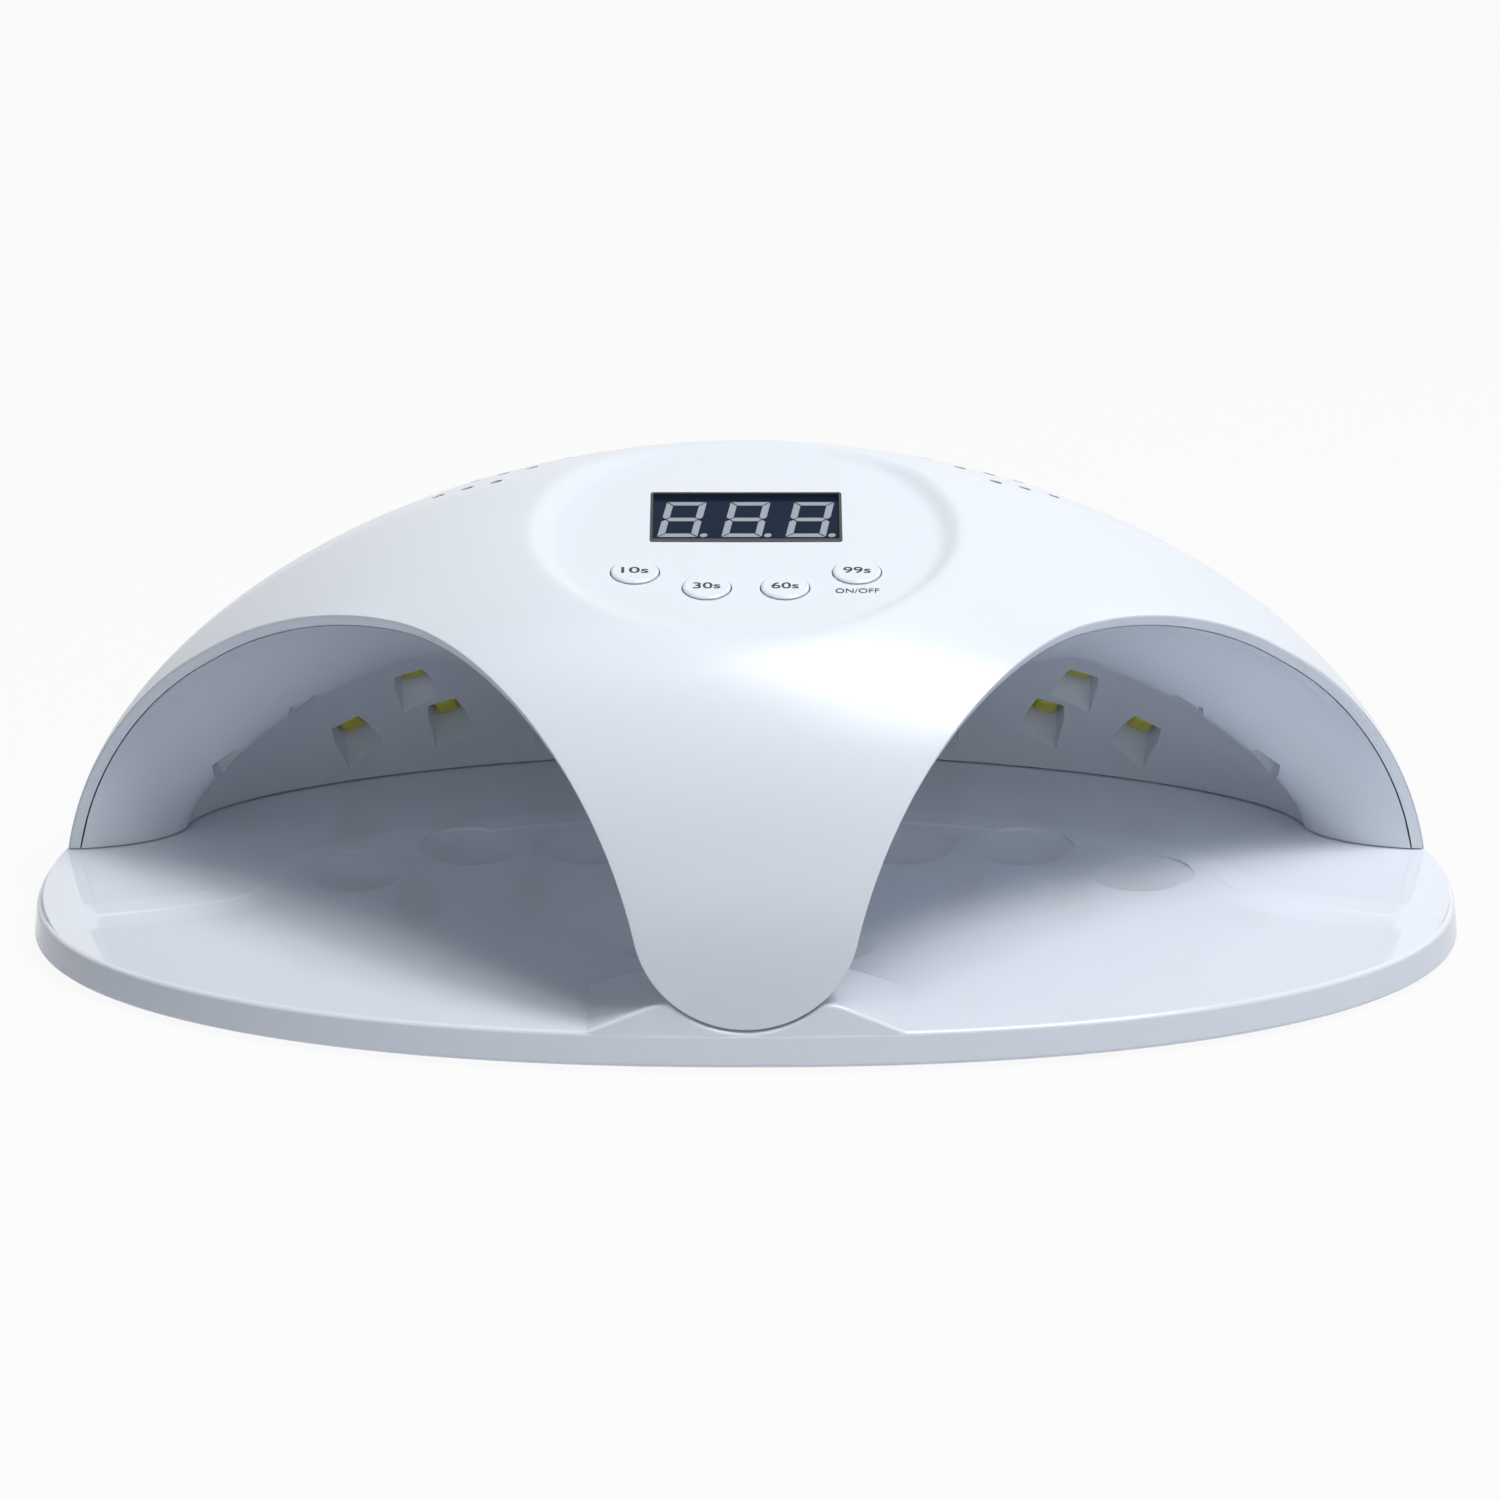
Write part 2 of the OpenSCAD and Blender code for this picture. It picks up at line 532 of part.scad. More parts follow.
// Seven slanted bars and a point for each digit
digit_pitch = 12.8;
bar = 1.4;
bar_long = [4.9, 5.8];
lean = 0.13;
bar_rise = 0.2;
function bar_points(l, w) = [[-l / 2, 0], [-l / 2 + w / 2, w / 2], [l / 2 - w / 2, w / 2],
                             [l / 2, 0], [l / 2 - w / 2, -w / 2], [-l / 2 + w / 2, -w / 2]];
bars = [[0, 0, 0], [0, 1, 0], [0, -1, 0], [-0.5, 0.5, 90], [0.5, 0.5, 90], [-0.5, -0.5, 90], [0.5, -0.5, 90]];
module display_segments() {
    color([0.62, 0.64, 0.66]) on_panel() translate([0, display_v, display_face]) for (k = [-1:1]) translate([k * digit_pitch, 0, 0]) {
        for (b = bars) linear_extrude(bar_rise) polygon([for (q = bar_points(bar_long[b[2] / 90], bar))
            let (r = b[2] == 90 ? [-q.y, q.x] : q, x = b[0] * 5.4 + r.x, y = b[1] * 6.3 + r.y) [x + lean * y, y]]);
        translate([5.1, -6.4, 0]) cylinder(h = bar_rise, d = 1.4, $fn = 20);
    }
}
switch_h = 3.5;
stem_d = 3.4;
module tact_switches() {
    color(black) on_panel() for (p = key_seats) translate([p.x, p.y, board_top]) difference() {
        translate([-3, -3, 0]) cube([6, 6, switch_h]);
        translate([0, 0, 0.8]) cylinder(h = switch_h, d = stem_d + 0.6, $fn = 32);
    }
}
flange_top = -floor_thick - 0.3;
flange_thick = 1;
stub_end = -4.8;
module key(i) {
    color(white) on_panel() translate([key_seats[i].x, key_seats[i].y, 0]) {
        translate([0, 0, flange_top - flange_thick]) cylinder(h = key_proud - 0.3 - flange_top + flange_thick, d = key_d, $fn = 48);
        translate([0, 0, key_proud - 0.3]) cylinder(h = 0.3, r1 = key_d / 2, r2 = key_d / 2 - 0.4, $fn = 48);
        translate([0, 0, flange_top - flange_thick]) cylinder(h = flange_thick, d = key_d + 2.8, $fn = 48);
        translate([0, 0, stub_end]) cylinder(h = flange_top - flange_thick - stub_end, d = 4.4, $fn = 32);
    }
}
module plunger(i) {
    color([0.75, 0.75, 0.72]) on_panel() translate([key_seats[i].x, key_seats[i].y, board_top + 1.8])
        cylinder(h = stub_end - board_top - 1.8, d = stem_d, $fn = 32);
}
module key_10s() key(0);
module key_30s() key(1);
module key_60s() key(2);
module key_99s() key(3);
module plunger_10s() plunger(0);
module plunger_30s() plunger(1);
module plunger_60s() plunger(2);
module plunger_99s() plunger(3);

// ---------- Power inlet and wiring ----------
module dc_jack() {
    back = back_face(jack_z);
    color(black) translate([0, back, jack_z]) {
        rotate([90, 0, 0]) difference() {
            cylinder(h = 5, r = jack_r, $fn = 48);
            translate([0, 0, -1]) cylinder(h = 9, r = 3.1, $fn = 48);
        }
        translate([-4.5, -14, -5.5]) difference() {
            cube([9, 9.6, 11]);
            translate([4.5, 20, 5.5]) rotate([90, 0, 0]) cylinder(h = 19, r = 3.1, $fn = 48);
        }
    }
    color(steel) translate([0, back, jack_z]) rotate([90, 0, 0]) translate([0, 0, 1.5]) cylinder(h = 12, r = 1, $fn = 24);
}
// Where the back of the dome lies at a height, in the middle
function back_face(z) = let (run = back_run(0), rise = back_rise(0))
    crest_y(0) - back_set + run * pow(1 - pow((z - sill_z) / rise, back_n), 1 / back_n);

cable_r = 1.6;
function panel_point(x, v, z) = [x, panel_top.y - (panel_r - v) * cos(panel_tilt) - z * sin(panel_tilt),
                                 panel_top.z - (panel_r - v) * sin(panel_tilt) + z * cos(panel_tilt)];
module dc_cable() {
    a = [0, back_face(jack_z) - 15.7, jack_z];
    b = panel_point(-10, -15.5, board_top - board_thick - 6.7);
    color(black) cable(curve(a, a + [0, -6, 6], b + [0, 16, -22], b, 14), cable_r);
}
module led_cable(side) {
    a = panel_point(side > 0 ? 22 : -26, -15.5, board_top - board_thick - 6.7);
    n = pocket_axis(station_of(side * 46), 1.63);
    at = lining_at(station_of(side * 46), 1.63) + (pocket_depth + led_board_thick + 0.8) * n;
    color(white) cable(curve(a, a + [0, 12, -9], at + 10 * n + [0, 0, 14], at, 12), 1.2);
}
module led_cable_left() led_cable(-1);
module led_cable_right() led_cable(1);

base_tray();
rubber_feet();
tray_discs();
outer_shell();
inner_reflector();
housing_magnets();
reflector_screws();
control_board();
board_components();
board_screws();
display_module();
display_segments();
tact_switches();
key_10s();
key_30s();
key_60s();
key_99s();
plunger_10s();
plunger_30s();
plunger_60s();
plunger_99s();
led_boards_left();
led_boards_right();
led_chips_left();
led_chips_right();
dc_jack();
dc_cable();
led_cable_left();
led_cable_right();
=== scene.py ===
# %% [markdown]
# # A two-hand nail lamp in white plastic
# A nail lamp is a moulded dome that stands on a loose tray. Two arched openings take the hands,
# a post is left between them, and a round panel with a display and four keys is sunk into the top.
# Nearly everything on it is smooth white plastic, so this lesson is about form and soft light:
# the surfaces come from formulas on fine grids, and the holes are cut with Boolean modifiers.

# %% Load the construction
import bpy, math
import numpy as np
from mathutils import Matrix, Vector


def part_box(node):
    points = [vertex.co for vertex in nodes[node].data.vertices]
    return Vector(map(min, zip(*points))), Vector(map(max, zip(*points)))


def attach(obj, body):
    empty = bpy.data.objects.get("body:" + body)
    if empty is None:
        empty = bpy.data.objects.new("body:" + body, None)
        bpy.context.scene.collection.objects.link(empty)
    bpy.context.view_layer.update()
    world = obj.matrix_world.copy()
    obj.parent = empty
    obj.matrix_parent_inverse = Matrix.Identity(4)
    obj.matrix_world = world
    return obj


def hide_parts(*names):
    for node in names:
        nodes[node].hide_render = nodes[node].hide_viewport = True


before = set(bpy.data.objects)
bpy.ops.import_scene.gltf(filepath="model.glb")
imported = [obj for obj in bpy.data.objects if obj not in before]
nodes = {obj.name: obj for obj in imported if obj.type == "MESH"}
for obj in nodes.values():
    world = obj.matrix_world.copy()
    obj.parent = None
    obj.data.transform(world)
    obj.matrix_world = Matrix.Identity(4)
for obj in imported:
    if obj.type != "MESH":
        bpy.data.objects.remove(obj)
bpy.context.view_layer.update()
scene = bpy.context.scene
MM = 0.001

# %% [markdown]
# The main sizes are read back from the construction, so that the smooth surfaces sit exactly on it:
# the tray gives its own width, depth and height, the shell gives its foot and its crest.

# %% Sizes in millimetres
tray_low, tray_high = [np.array(c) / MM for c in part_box("base_tray")]
disc_high = np.array(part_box("tray_discs")[1]) / MM
shell_high = np.array(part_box("outer_shell")[1]) / MM
tray_w, tray_d = tray_high[0] - tray_low[0], tray_high[1] - tray_low[1]
tray_base, tray_top = tray_low[2], disc_high[2]
sill = tray_top + 0.3                    # the housing's bottom edge
end_inset = 0.8                          # the dome's formula ends this far inside its own width
half_w = shell_high[0] + end_inset
crest_h = 97.0
print("tray %.0f x %.0f mm, its top at %.1f mm" % (tray_w, tray_d, tray_top))
print("half width of the housing: %.1f mm" % half_w)

# %% [markdown]
# ## Helpers
# A mesh made from arrays is quick even when it has a hundred thousand faces. `grid_faces` joins
# rows of points into quads; closed rows with flat ends make a solid that Booleans can cut.

# %% Mesh helpers
def new_object(name, verts, faces, smooth_below=30.0):
    mesh = bpy.data.meshes.new(name)
    points = (np.asarray(verts, float) * MM).tolist()
    mesh.from_pydata(points, [], [list(map(int, f)) for f in faces])
    mesh.validate()
    obj = bpy.data.objects.new(name, mesh)
    scene.collection.objects.link(obj)
    shade(obj, smooth_below)
    return obj


def shade(obj, smooth_below):
    obj.data.shade_smooth()
    obj.data.set_sharp_from_angle(angle=math.radians(smooth_below))


def grid_faces(rows, row_length, closed):
    across = row_length if closed else row_length - 1
    i, k = np.meshgrid(np.arange(rows - 1), np.arange(across), indexing="ij")
    j = (k + 1) % row_length
    here, there = i * row_length, (i + 1) * row_length
    return np.stack([here + k, here + j, there + j, there + k], -1).reshape(-1, 4)


def zip_cap(first, length, flip):
    """Quads across a closed row whose first half runs beside its second half."""
    half = length // 2
    last = first + length - 1
    faces = [[first + k, first + k + 1, last - 1 - k, last - k] for k in range(half - 1)]
    return [f[::-1] if flip else f for f in faces]


def solid_from_rows(name, rows, smooth_below=30.0):
    rows = np.asarray(rows)
    m, n = rows.shape[:2]
    faces = grid_faces(m, n, True)[:, ::-1].tolist()
    faces += zip_cap(0, n, False) + zip_cap((m - 1) * n, n, True)
    return new_object(name, rows.reshape(-1, 3), faces, smooth_below)


def evaluated_mesh(obj):
    bpy.context.view_layer.update()
    graph = bpy.context.evaluated_depsgraph_get()
    return bpy.data.meshes.new_from_object(obj.evaluated_get(graph))


def cut(obj, cutter, operation="DIFFERENCE"):
    """Boolean, applied at once; the cutter is used up."""
    mod = obj.modifiers.new("cut", "BOOLEAN")
    mod.operation, mod.solver, mod.object = operation, "MANIFOLD", cutter
    made = evaluated_mesh(obj)
    obj.modifiers.remove(mod)
    obj.data = made
    bpy.data.objects.remove(cutter)
    return obj


def prism(name, outline, low, high, place=None):
    """Upright prism over a 2D outline that runs anticlockwise; place moves its points."""
    outline = np.asarray(outline, float)
    n = len(outline)
    verts = np.vstack([np.c_[outline, np.full(n, low)], np.c_[outline, np.full(n, high)]])
    faces = [list(range(n))[::-1], list(range(n, 2 * n))]
    faces += [[k, (k + 1) % n, n + (k + 1) % n, n + k] for k in range(n)]
    return new_object(name, place(verts) if place else verts, faces)


def circle(x, y, r, steps=48):
    a = np.arange(steps) * 2 * math.pi / steps
    return np.c_[x + r * np.cos(a), y + r * np.sin(a)]


def joined(name, parts):
    """One object from several; the parts are used up."""
    verts, faces, at = [], [], 0
    for part in parts:
        co = np.array([v.co[:] for v in part.data.vertices]) / MM
        verts.append(co)
        faces += [[at + i for i in p.vertices] for p in part.data.polygons]
        at += len(co)
        bpy.data.objects.remove(part)
    return new_object(name, np.vstack(verts), faces)

# %% [markdown]
# ## The dome's surface
# From the front the crest is a wide superellipse. Every upright section is one more superellipse
# quarter in front of the crest and another behind it, with a crease where they meet. `w` runs over
# a section: 0 at the opening's edge, 1 at the crest, 2 at the bottom edge.

# %% Dome
def arch(q, n):
    return np.maximum(0, 1 - np.abs(q) ** n) ** (1 / n)


def mix(a, b, t):
    return a + (b - a) * t


crest_n, crest_y0, crest_lean = 1.95, 15.5, 0.1
plan_y, plan_n, tray_n = -7.5, 2.4, 2.2
toe_reach = tray_d / 2 + plan_y - 0.8
face_n, face_set = 2.6, 25.0
heel_reach, heel_n, back_n, back_set = 73.0, 1.8, 2.35, 18.0
opening_h, crown_x = 74.9, 66.84         # the opening's crown: height, distance from the middle
outer_run, outer_n = 74.2, 1.82          # its outer side
inner_run, inner_n = 48.2, 2.01          # its inner side
foot_x, end_x = 108.0, half_w - end_inset
tip_top = 25.7                           # where the arches turn into the post's round tip
post_q = tip_top / opening_h
post_edge_x = crown_x - inner_run * arch(post_q, inner_n)
post_lean = (inner_run / opening_h * post_q ** (inner_n - 1)
             * (1 - post_q ** inner_n) ** (1 / inner_n - 1))
post_r = post_edge_x * math.sqrt(1 + post_lean ** 2)
post_z = tip_top + post_lean * post_edge_x
end_share = 0.06                         # how much of the front is left at the housing's ends
shell_wall, lining_wall, seam_gap, trim_gap = 2.4, 1.8, 0.3, 0.27


def crest_z(x):
    return crest_h * arch(x / half_w, crest_n)


def crest_y(x):
    return crest_y0 - crest_lean * crest_z(x)


def toe_y(x):
    return plan_y - toe_reach * arch(x / (half_w + 1.6), plan_n)


def heel_y(x):
    return crest_y0 + heel_reach * arch(x / half_w, heel_n)


def edge_z(x):
    a = np.abs(x)
    tip = post_z - np.sqrt(np.maximum(0, post_r ** 2 - a ** 2))
    inner = opening_h * arch(np.minimum(1, np.maximum(0, crown_x - a) / inner_run), inner_n)
    outer = opening_h * arch(np.maximum(0, a - crown_x) / outer_run, outer_n)
    return np.where(a < post_edge_x, tip, np.where(a < crown_x, inner, outer))


def narrowing(x):
    t = np.maximum(0, (np.abs(x) - foot_x) / (end_x - foot_x))
    return mix(1, end_share, t * t * (3 - 2 * t))


def face_at(x, w):
    run = crest_y(x) - toe_y(x) + face_set
    rise = crest_z(x) / arch(face_set / run, face_n)
    full = np.arccos(np.minimum(1, (edge_z(x) / rise) ** (face_n / 2)))
    high = np.arcsin((face_set / run) ** (face_n / 2))
    a = mix(mix(high, full, narrowing(x)), high, w)
    return np.stack([x + 0 * w, crest_y(x) + face_set - run * np.sin(a) ** (2 / face_n),
                     rise * np.cos(a) ** (2 / face_n)], -1)


def back_at(x, w):
    run = heel_y(x) - crest_y(x) + back_set
    rise = (crest_z(x) - sill) / arch(back_set / run, back_n)
    a = mix(np.arcsin((back_set / run) ** (back_n / 2)), math.pi / 2, w)
    return np.stack([x + 0 * w, crest_y(x) - back_set + run * np.sin(a) ** (2 / back_n),
                     sill + rise * np.maximum(0, np.cos(a)) ** (2 / back_n)], -1)


def dome_at(x, w):
    front, back = face_at(x, np.minimum(w, 1)), back_at(x, np.maximum(w, 1) - 1)
    return np.where((w <= 1)[..., None], front, back)


def unit(v):
    return v / np.maximum(np.linalg.norm(v, axis=-1, keepdims=True), 1e-9)


def side_normal(x, w, f, lo, hi):
    e = 0.02
    w0, w1 = np.maximum(lo, w - e), np.minimum(hi, w + e)
    return unit(np.cross(f(x + e, w) - f(x - e, w), f(x, w1) - f(x, w0)))


def dome_normal(x, w):
    front = side_normal(x, np.clip(w, 0, 1), face_at, 0, 1)
    rear = side_normal(x, np.clip(w, 1, 2) - 1, back_at, 0, 1)
    blend = np.clip((w - 0.985) / 0.03, 0, 1)[..., None]
    return unit(front * (1 - blend) + rear * blend)


print("the post's tip: radius %.1f mm around a height of %.1f mm" % (post_r, post_z))

# %% [markdown]
# ## The sunken panel
# The flat panel cuts into the dome like a dish with a sloping wall. A smooth minimum between the
# dome's height over the panel plane and the dish gives the rounded edges of a real moulding.

# %% Panel
panel_tilt = math.radians(12)
panel_top = np.array([0, 20, 94.6])
panel_r, dish_flare = 39.0, 1.5
outer_round, inner_round = 0.9, 0.3      # softness of the dish's edge, outside and inside
dish_reach = 12.0                        # the dish acts this far around and below the panel
panel_u = np.array([1, 0, 0])
panel_v = np.array([0, math.cos(panel_tilt), math.sin(panel_tilt)])
panel_n = np.array([0, -math.sin(panel_tilt), math.cos(panel_tilt)])
panel_middle = panel_top - panel_r * panel_v


def on_panel(points):
    """Points of the panel's own frame, placed on the dome."""
    points = np.asarray(points, float)
    u, v, h = points[..., :1], points[..., 1:2], points[..., 2:3]
    return panel_middle + u * panel_u + v * panel_v + h * panel_n


def soft_min(a, b, k):
    return 0.5 * (a + b - np.sqrt((a - b) ** 2 + k * k))


def sink_panel(points, depth=0.0):
    """Presses the dish into points; depth is how far below the outside they lie."""
    rel = points - panel_middle
    u, v, h = rel @ panel_u, rel @ panel_v, rel @ panel_n
    r = np.hypot(u, v)
    wall = (r - panel_r) / dish_flare
    hollow = 0.12 * np.clip(1 - r / panel_r, 0, 1)
    dish = 0.5 * (wall + np.sqrt(wall ** 2 + 0.5)) - hollow - depth
    near = (r < panel_r + dish_reach) & (h > -dish_reach)
    pressed = np.where(near, soft_min(h, dish, outer_round if depth == 0 else inner_round), h)
    return points + ((pressed - h) * (h > -dish_reach))[..., None] * panel_n


vent_r = 1.3
vent_seats = [(s * x, float(crest_y(np.array(float(x)))) + 3.5 + 2.2 * k + 8.5 * row)
              for s in (-1, 1) for row in range(3) for k in range(3)
              for x in [50.6 + 6 * k - 7 * row]]
key_seats = {"10s": (-21.9, -14.2), "30s": (-7.7, -20.4),
             "60s": (7.7, -20.4), "99s": (21.9, -14.2)}
display_v = 9.0
print(len(vent_seats), "vent holes;", len(key_seats), "keys")

# %% [markdown]
# ## The shell
# The shell is one closed grid: the outside, the bottom edge, the inside and the opening's edge.
# Where the opening's edge turns, a few extra points round the corner, because light always
# catches on the edge of a real moulding.

# %% Shell
def spaced(low, high, step):
    return np.linspace(low, high, max(2, int(round(abs(high - low) / step)) + 1))


half = np.unique(np.concatenate([
    post_edge_x * np.sin(np.linspace(0, math.pi / 2, 30)),
    spaced(0, 76, 0.75), spaced(76, 118, 1.3),
    crown_x + (end_x - crown_x) * np.sin(np.linspace(0, math.pi / 2, 60))]).round(4))
closest = 0.12                           # stations nearer than this are dropped
half = half[np.concatenate([[True], np.diff(half) > closest])]
half[-1] = end_x
stations = np.concatenate([-half[:0:-1], half])
outer_w = np.concatenate([[0, 0.004, 0.01, 0.02, 0.035], spaced(0.05, 0.45, 0.016),
                          spaced(0.46, 1.0, 0.0075), spaced(1.006, 1.3, 0.0075),
                          spaced(1.32, 2, 0.03)])
inner_w = np.concatenate([spaced(0, 1, 0.03), spaced(1.03, 2, 0.04)])
crest_soft = 0.012
corner_r = 0.55                          # radius of the opening's edge


def spread(x, w):
    """Every station paired with every place across the section."""
    return x[:, None] + 0 * w, w + 0 * x[:, None]


def rounded_crest(x, w):
    """The surface with its crease softened over a short distance."""
    near = np.exp(-((w - 1) / (2.2 * crest_soft)) ** 2)[..., None]
    sharp = dome_at(x, w)
    blurred = (dome_at(x, w - crest_soft) + dome_at(x, w + crest_soft) + 2 * sharp) / 4
    return sharp * (1 - near) + blurred * near


def kept_up(p):
    low = np.where(np.abs(p[..., 0]) < crown_x, post_z - post_r, sill)
    return np.concatenate([p[..., :2], np.maximum(p[..., 2:], low[..., None])], -1)


def shell_rows():
    outer = kept_up(sink_panel(rounded_crest(*spread(stations, outer_w))))
    x, w = spread(stations, inner_w)
    inside = dome_at(x, w) - shell_wall * dome_normal(x, w)
    inside[:, -1, 2] = sill
    inside = kept_up(sink_panel(inside, shell_wall))
    # The first four points of each outer section give way to a rounded corner.
    edge, out = outer[:, 0], dome_normal(stations, 0 * stations)
    along = unit(outer[:, 3] - outer[:, 0])
    corner = [edge + corner_r * along * (1 - math.sin(a)) - corner_r * out * (1 - math.cos(a))
              for a in np.radians([20, 45, 70, 90])]
    last = (inside[:, 0] + corner_r * out)[:, None]
    return kept_up(np.concatenate([np.stack(corner[::-1], 1), outer[:, 4:], inside[:, ::-1], last], 1))


rows = shell_rows()
if rows.shape[1] % 2:
    rows = np.concatenate([rows, rows[:, -1:] * 0.5 + rows[:, :1] * 0.5], 1)
shell = solid_from_rows("outer_shell_smooth", rows)
print("shell:", len(shell.data.polygons), "faces before the holes")

# %% [markdown]
# The holes are cut with Booleans. The window has small corner radii and reaches 1 mm lower than
# the display's glass, the keys' holes leave 0.3 mm of play all round, and the vents run straight
# down through the top.

# %% Holes in the shell
def rounded_box(w, h, r, steps=5):
    pts = []
    for cx, cy, a0 in ((1, 1, 0), (-1, 1, 90), (-1, -1, 180), (1, -1, 270)):
        for k in range(steps + 1):
            a = math.radians(a0 + 90 * k / steps)
            pts.append([cx * (w / 2 - r) + r * math.cos(a), cy * (h / 2 - r) + r * math.sin(a)])
    return np.array(pts)


key_d, key_play, window = 9.4, 0.3, (38.4, 19.7)
jack_z, jack_r = 31.0, 4.5
window_drop, window_corner = 1.0, 0.7
window_outline = rounded_box(window[0], window[1] + window_drop, window_corner)
window_outline = window_outline + [0, display_v - window_drop / 2]
key_hole_r = key_d / 2 + key_play
inlet = circle(0, 0, jack_r + 0.1, 64)[::-1]
holes = [prism("hole", window_outline, -6, 4, on_panel)]
holes += [prism("hole", circle(u, v, key_hole_r, 64), -6, 4, on_panel) for u, v in key_seats.values()]
holes += [prism("hole", circle(x, y, vent_r, 32), 60, 110) for x, y in vent_seats]
holes += [prism("hole", inlet, 78, 94, lambda p: np.c_[p[:, 0], p[:, 2], jack_z + p[:, 1]])]
cut(shell, joined("holes", holes))
shade(shell, 32)
print("shell after the holes:", len(shell.data.polygons), "faces")

# %% [markdown]
# ## The reflector
# Inside the shell sits one white moulding. It starts at a thin seam behind the opening's edge,
# flares inwards as a smooth mouth, and ends at a lip. Behind the lip is the lamp chamber, a curved
# wall with pockets, and an LED at the bottom of each. Two Bezier curves per section describe it.
# A pocket is square at its LED and drawn out towards the front, like the mouth of a scoop.

# %% Reflector surface
ridge_y, ridge_h, turn_x, ridge_w, wall_reach = 26.5, 37.0, 66.0, 116.6, 48.5


def inner_x(x):
    a = np.abs(x)
    beyond = turn_x + (a - turn_x) * (ridge_w - turn_x) / (end_x - turn_x)
    return np.sign(x) * np.where(a < turn_x, a, beyond)


def station_of(u):
    """The station whose lip stands at a given distance from the middle."""
    a = abs(u)
    beyond = turn_x + (a - turn_x) * (end_x - turn_x) / (ridge_w - turn_x)
    return math.copysign(a if a < turn_x else beyond, u)


def bez(p, q, r, s, t):
    t = t[..., None]
    return p * (1 - t) ** 3 + 3 * q * t * (1 - t) ** 2 + 3 * r * t * t * (1 - t) + s * t ** 3


def seam_at(x, w=0.0):
    return dome_at(x, w + 0 * x) - (shell_wall + seam_gap) * dome_normal(x, w + 0 * x)


def ridge_at(x):
    u = inner_x(x)
    a = np.abs(u)
    outer = ridge_h * arch(np.clip((a - turn_x) / (ridge_w - turn_x), 0, 1), 1.42)
    middle = ridge_h - 14 * np.maximum(0, 1 - a / turn_x) ** 1.6
    return np.stack([u, ridge_y + 0 * u, sill + np.where(a > turn_x, outer, middle)], -1)


def wall_foot(x):
    u = inner_x(x)
    depth = wall_reach * arch(np.minimum(np.abs(u) / ridge_w, 0.998), 1.75)
    return np.stack([u, ridge_y + depth, sill + 0 * u], -1)


def scaled(value, vector):
    return value[..., None] * np.array(vector, float)


def mouth_at(x, v):
    g, r = seam_at(x), ridge_at(x)
    c = np.maximum(0, 1 - (x / 45) ** 2)
    e = np.maximum(0, (np.abs(x) - turn_x) / (end_x - turn_x))[..., None] ** 4
    side = np.sign(x)
    p1 = g + scaled(c, [0, 6, 50]) + scaled(1 - c, [0, 20, -2])
    p2 = r + scaled(1 - c, [0, -10, 5]) + scaled(c, [0, -55, 6])
    q1 = g + scaled(side, [-13, 0, 0]) + np.array([0, 2.0, 0])
    q2 = r + scaled(side, [2, 0, 0]) + np.array([0, -5.0, 0])
    return bez(g, mix(p1, q1, e), mix(p2, q2, e), r, v)


def wall_at(x, v):
    r, k = ridge_at(x), wall_foot(x)
    rise = r[..., 2] - sill
    q1 = r + np.stack([0 * x, 0.35 * (k[..., 1] - ridge_y), 3 * rise / ridge_h], -1)
    q2 = k + np.stack([0 * x, -2 + 0 * x, 0.55 * rise], -1)
    return bez(r, q1, q2, k, v)


def lining_at(x, v):
    x, v = np.broadcast_arrays(np.asarray(x, float), np.asarray(v, float))
    mouth, wall = mouth_at(x, np.minimum(v, 1)), wall_at(x, np.maximum(v, 1) - 1)
    return np.where((v <= 1)[..., None], mouth, wall)


def lining_normal(x, v):
    x, v = np.broadcast_arrays(np.asarray(x, float), np.asarray(v, float))
    e = 0.02
    v0 = np.where(v < 1, np.maximum(0, v - e), np.maximum(1, v - e))
    v1 = np.where(v < 1, np.minimum(1, v + e), np.minimum(2, v + e))
    x0, x1 = np.maximum(-end_x, x - e), np.minimum(end_x, x + e)
    return unit(np.cross(lining_at(x1, v) - lining_at(x0, v), lining_at(x, v1) - lining_at(x, v0)))

# %% Reflector's body
section_v = np.concatenate([spaced(0, 1, 0.03), spaced(1.02, 2, 0.04)])
lining_x = stations[np.concatenate([[True], np.diff(stations) > 0.35])]
lining_x[-1] = end_x


def lining_rows():
    x = lining_x[:, None]
    near = lining_at(x, section_v)
    near[:, -1, 2] = sill
    near[..., 2] = np.maximum(near[..., 2], sill)
    far = lining_at(x, section_v) + lining_wall * lining_normal(x, section_v)
    far[:, 0] = seam_at(lining_x, 0.035)
    far[:, -1, 2] = sill
    far[..., 2] = np.maximum(far[..., 2], sill)
    far[[0, -1], :, 2] = near[[0, -1], :, 2] = sill
    return np.concatenate([far, near[:, ::-1]], 1)


lining = solid_from_rows("inner_reflector_smooth", lining_rows())

# %% Trim and pockets
pocket_depth, pocket_tilt, cup_wall = 6.0, 0.55, 1.4
lip_row, low_row, high_row = 1.1, 1.63, 1.815      # places across the wall
pocket_rows = {lip_row: (22, 46, 70, 91, 107), low_row: (22, 46, 69.5),
               high_row: (20, 41.5, 63, 82.3)}
reaches = {lip_row: 9.0, low_row: 12.0, high_row: 10.4}
pocket_seats = [(s * u, v) for s in (-1, 1) for v, us in pocket_rows.items() for u in us]


def pocket_place(u, v):
    """Puts points of a pocket's own frame on the wall; +Z points out of the chamber."""
    x = station_of(u)
    c, n = lining_at(x, v), unit(lining_normal(x, v) + np.array([0, 0, pocket_tilt]))
    s = unit(np.cross([0, 1, 0], n))
    t = np.cross(n, s)
    return lambda p: c + p[:, :1] * s + p[:, 1:2] * t + p[:, 2:] * n


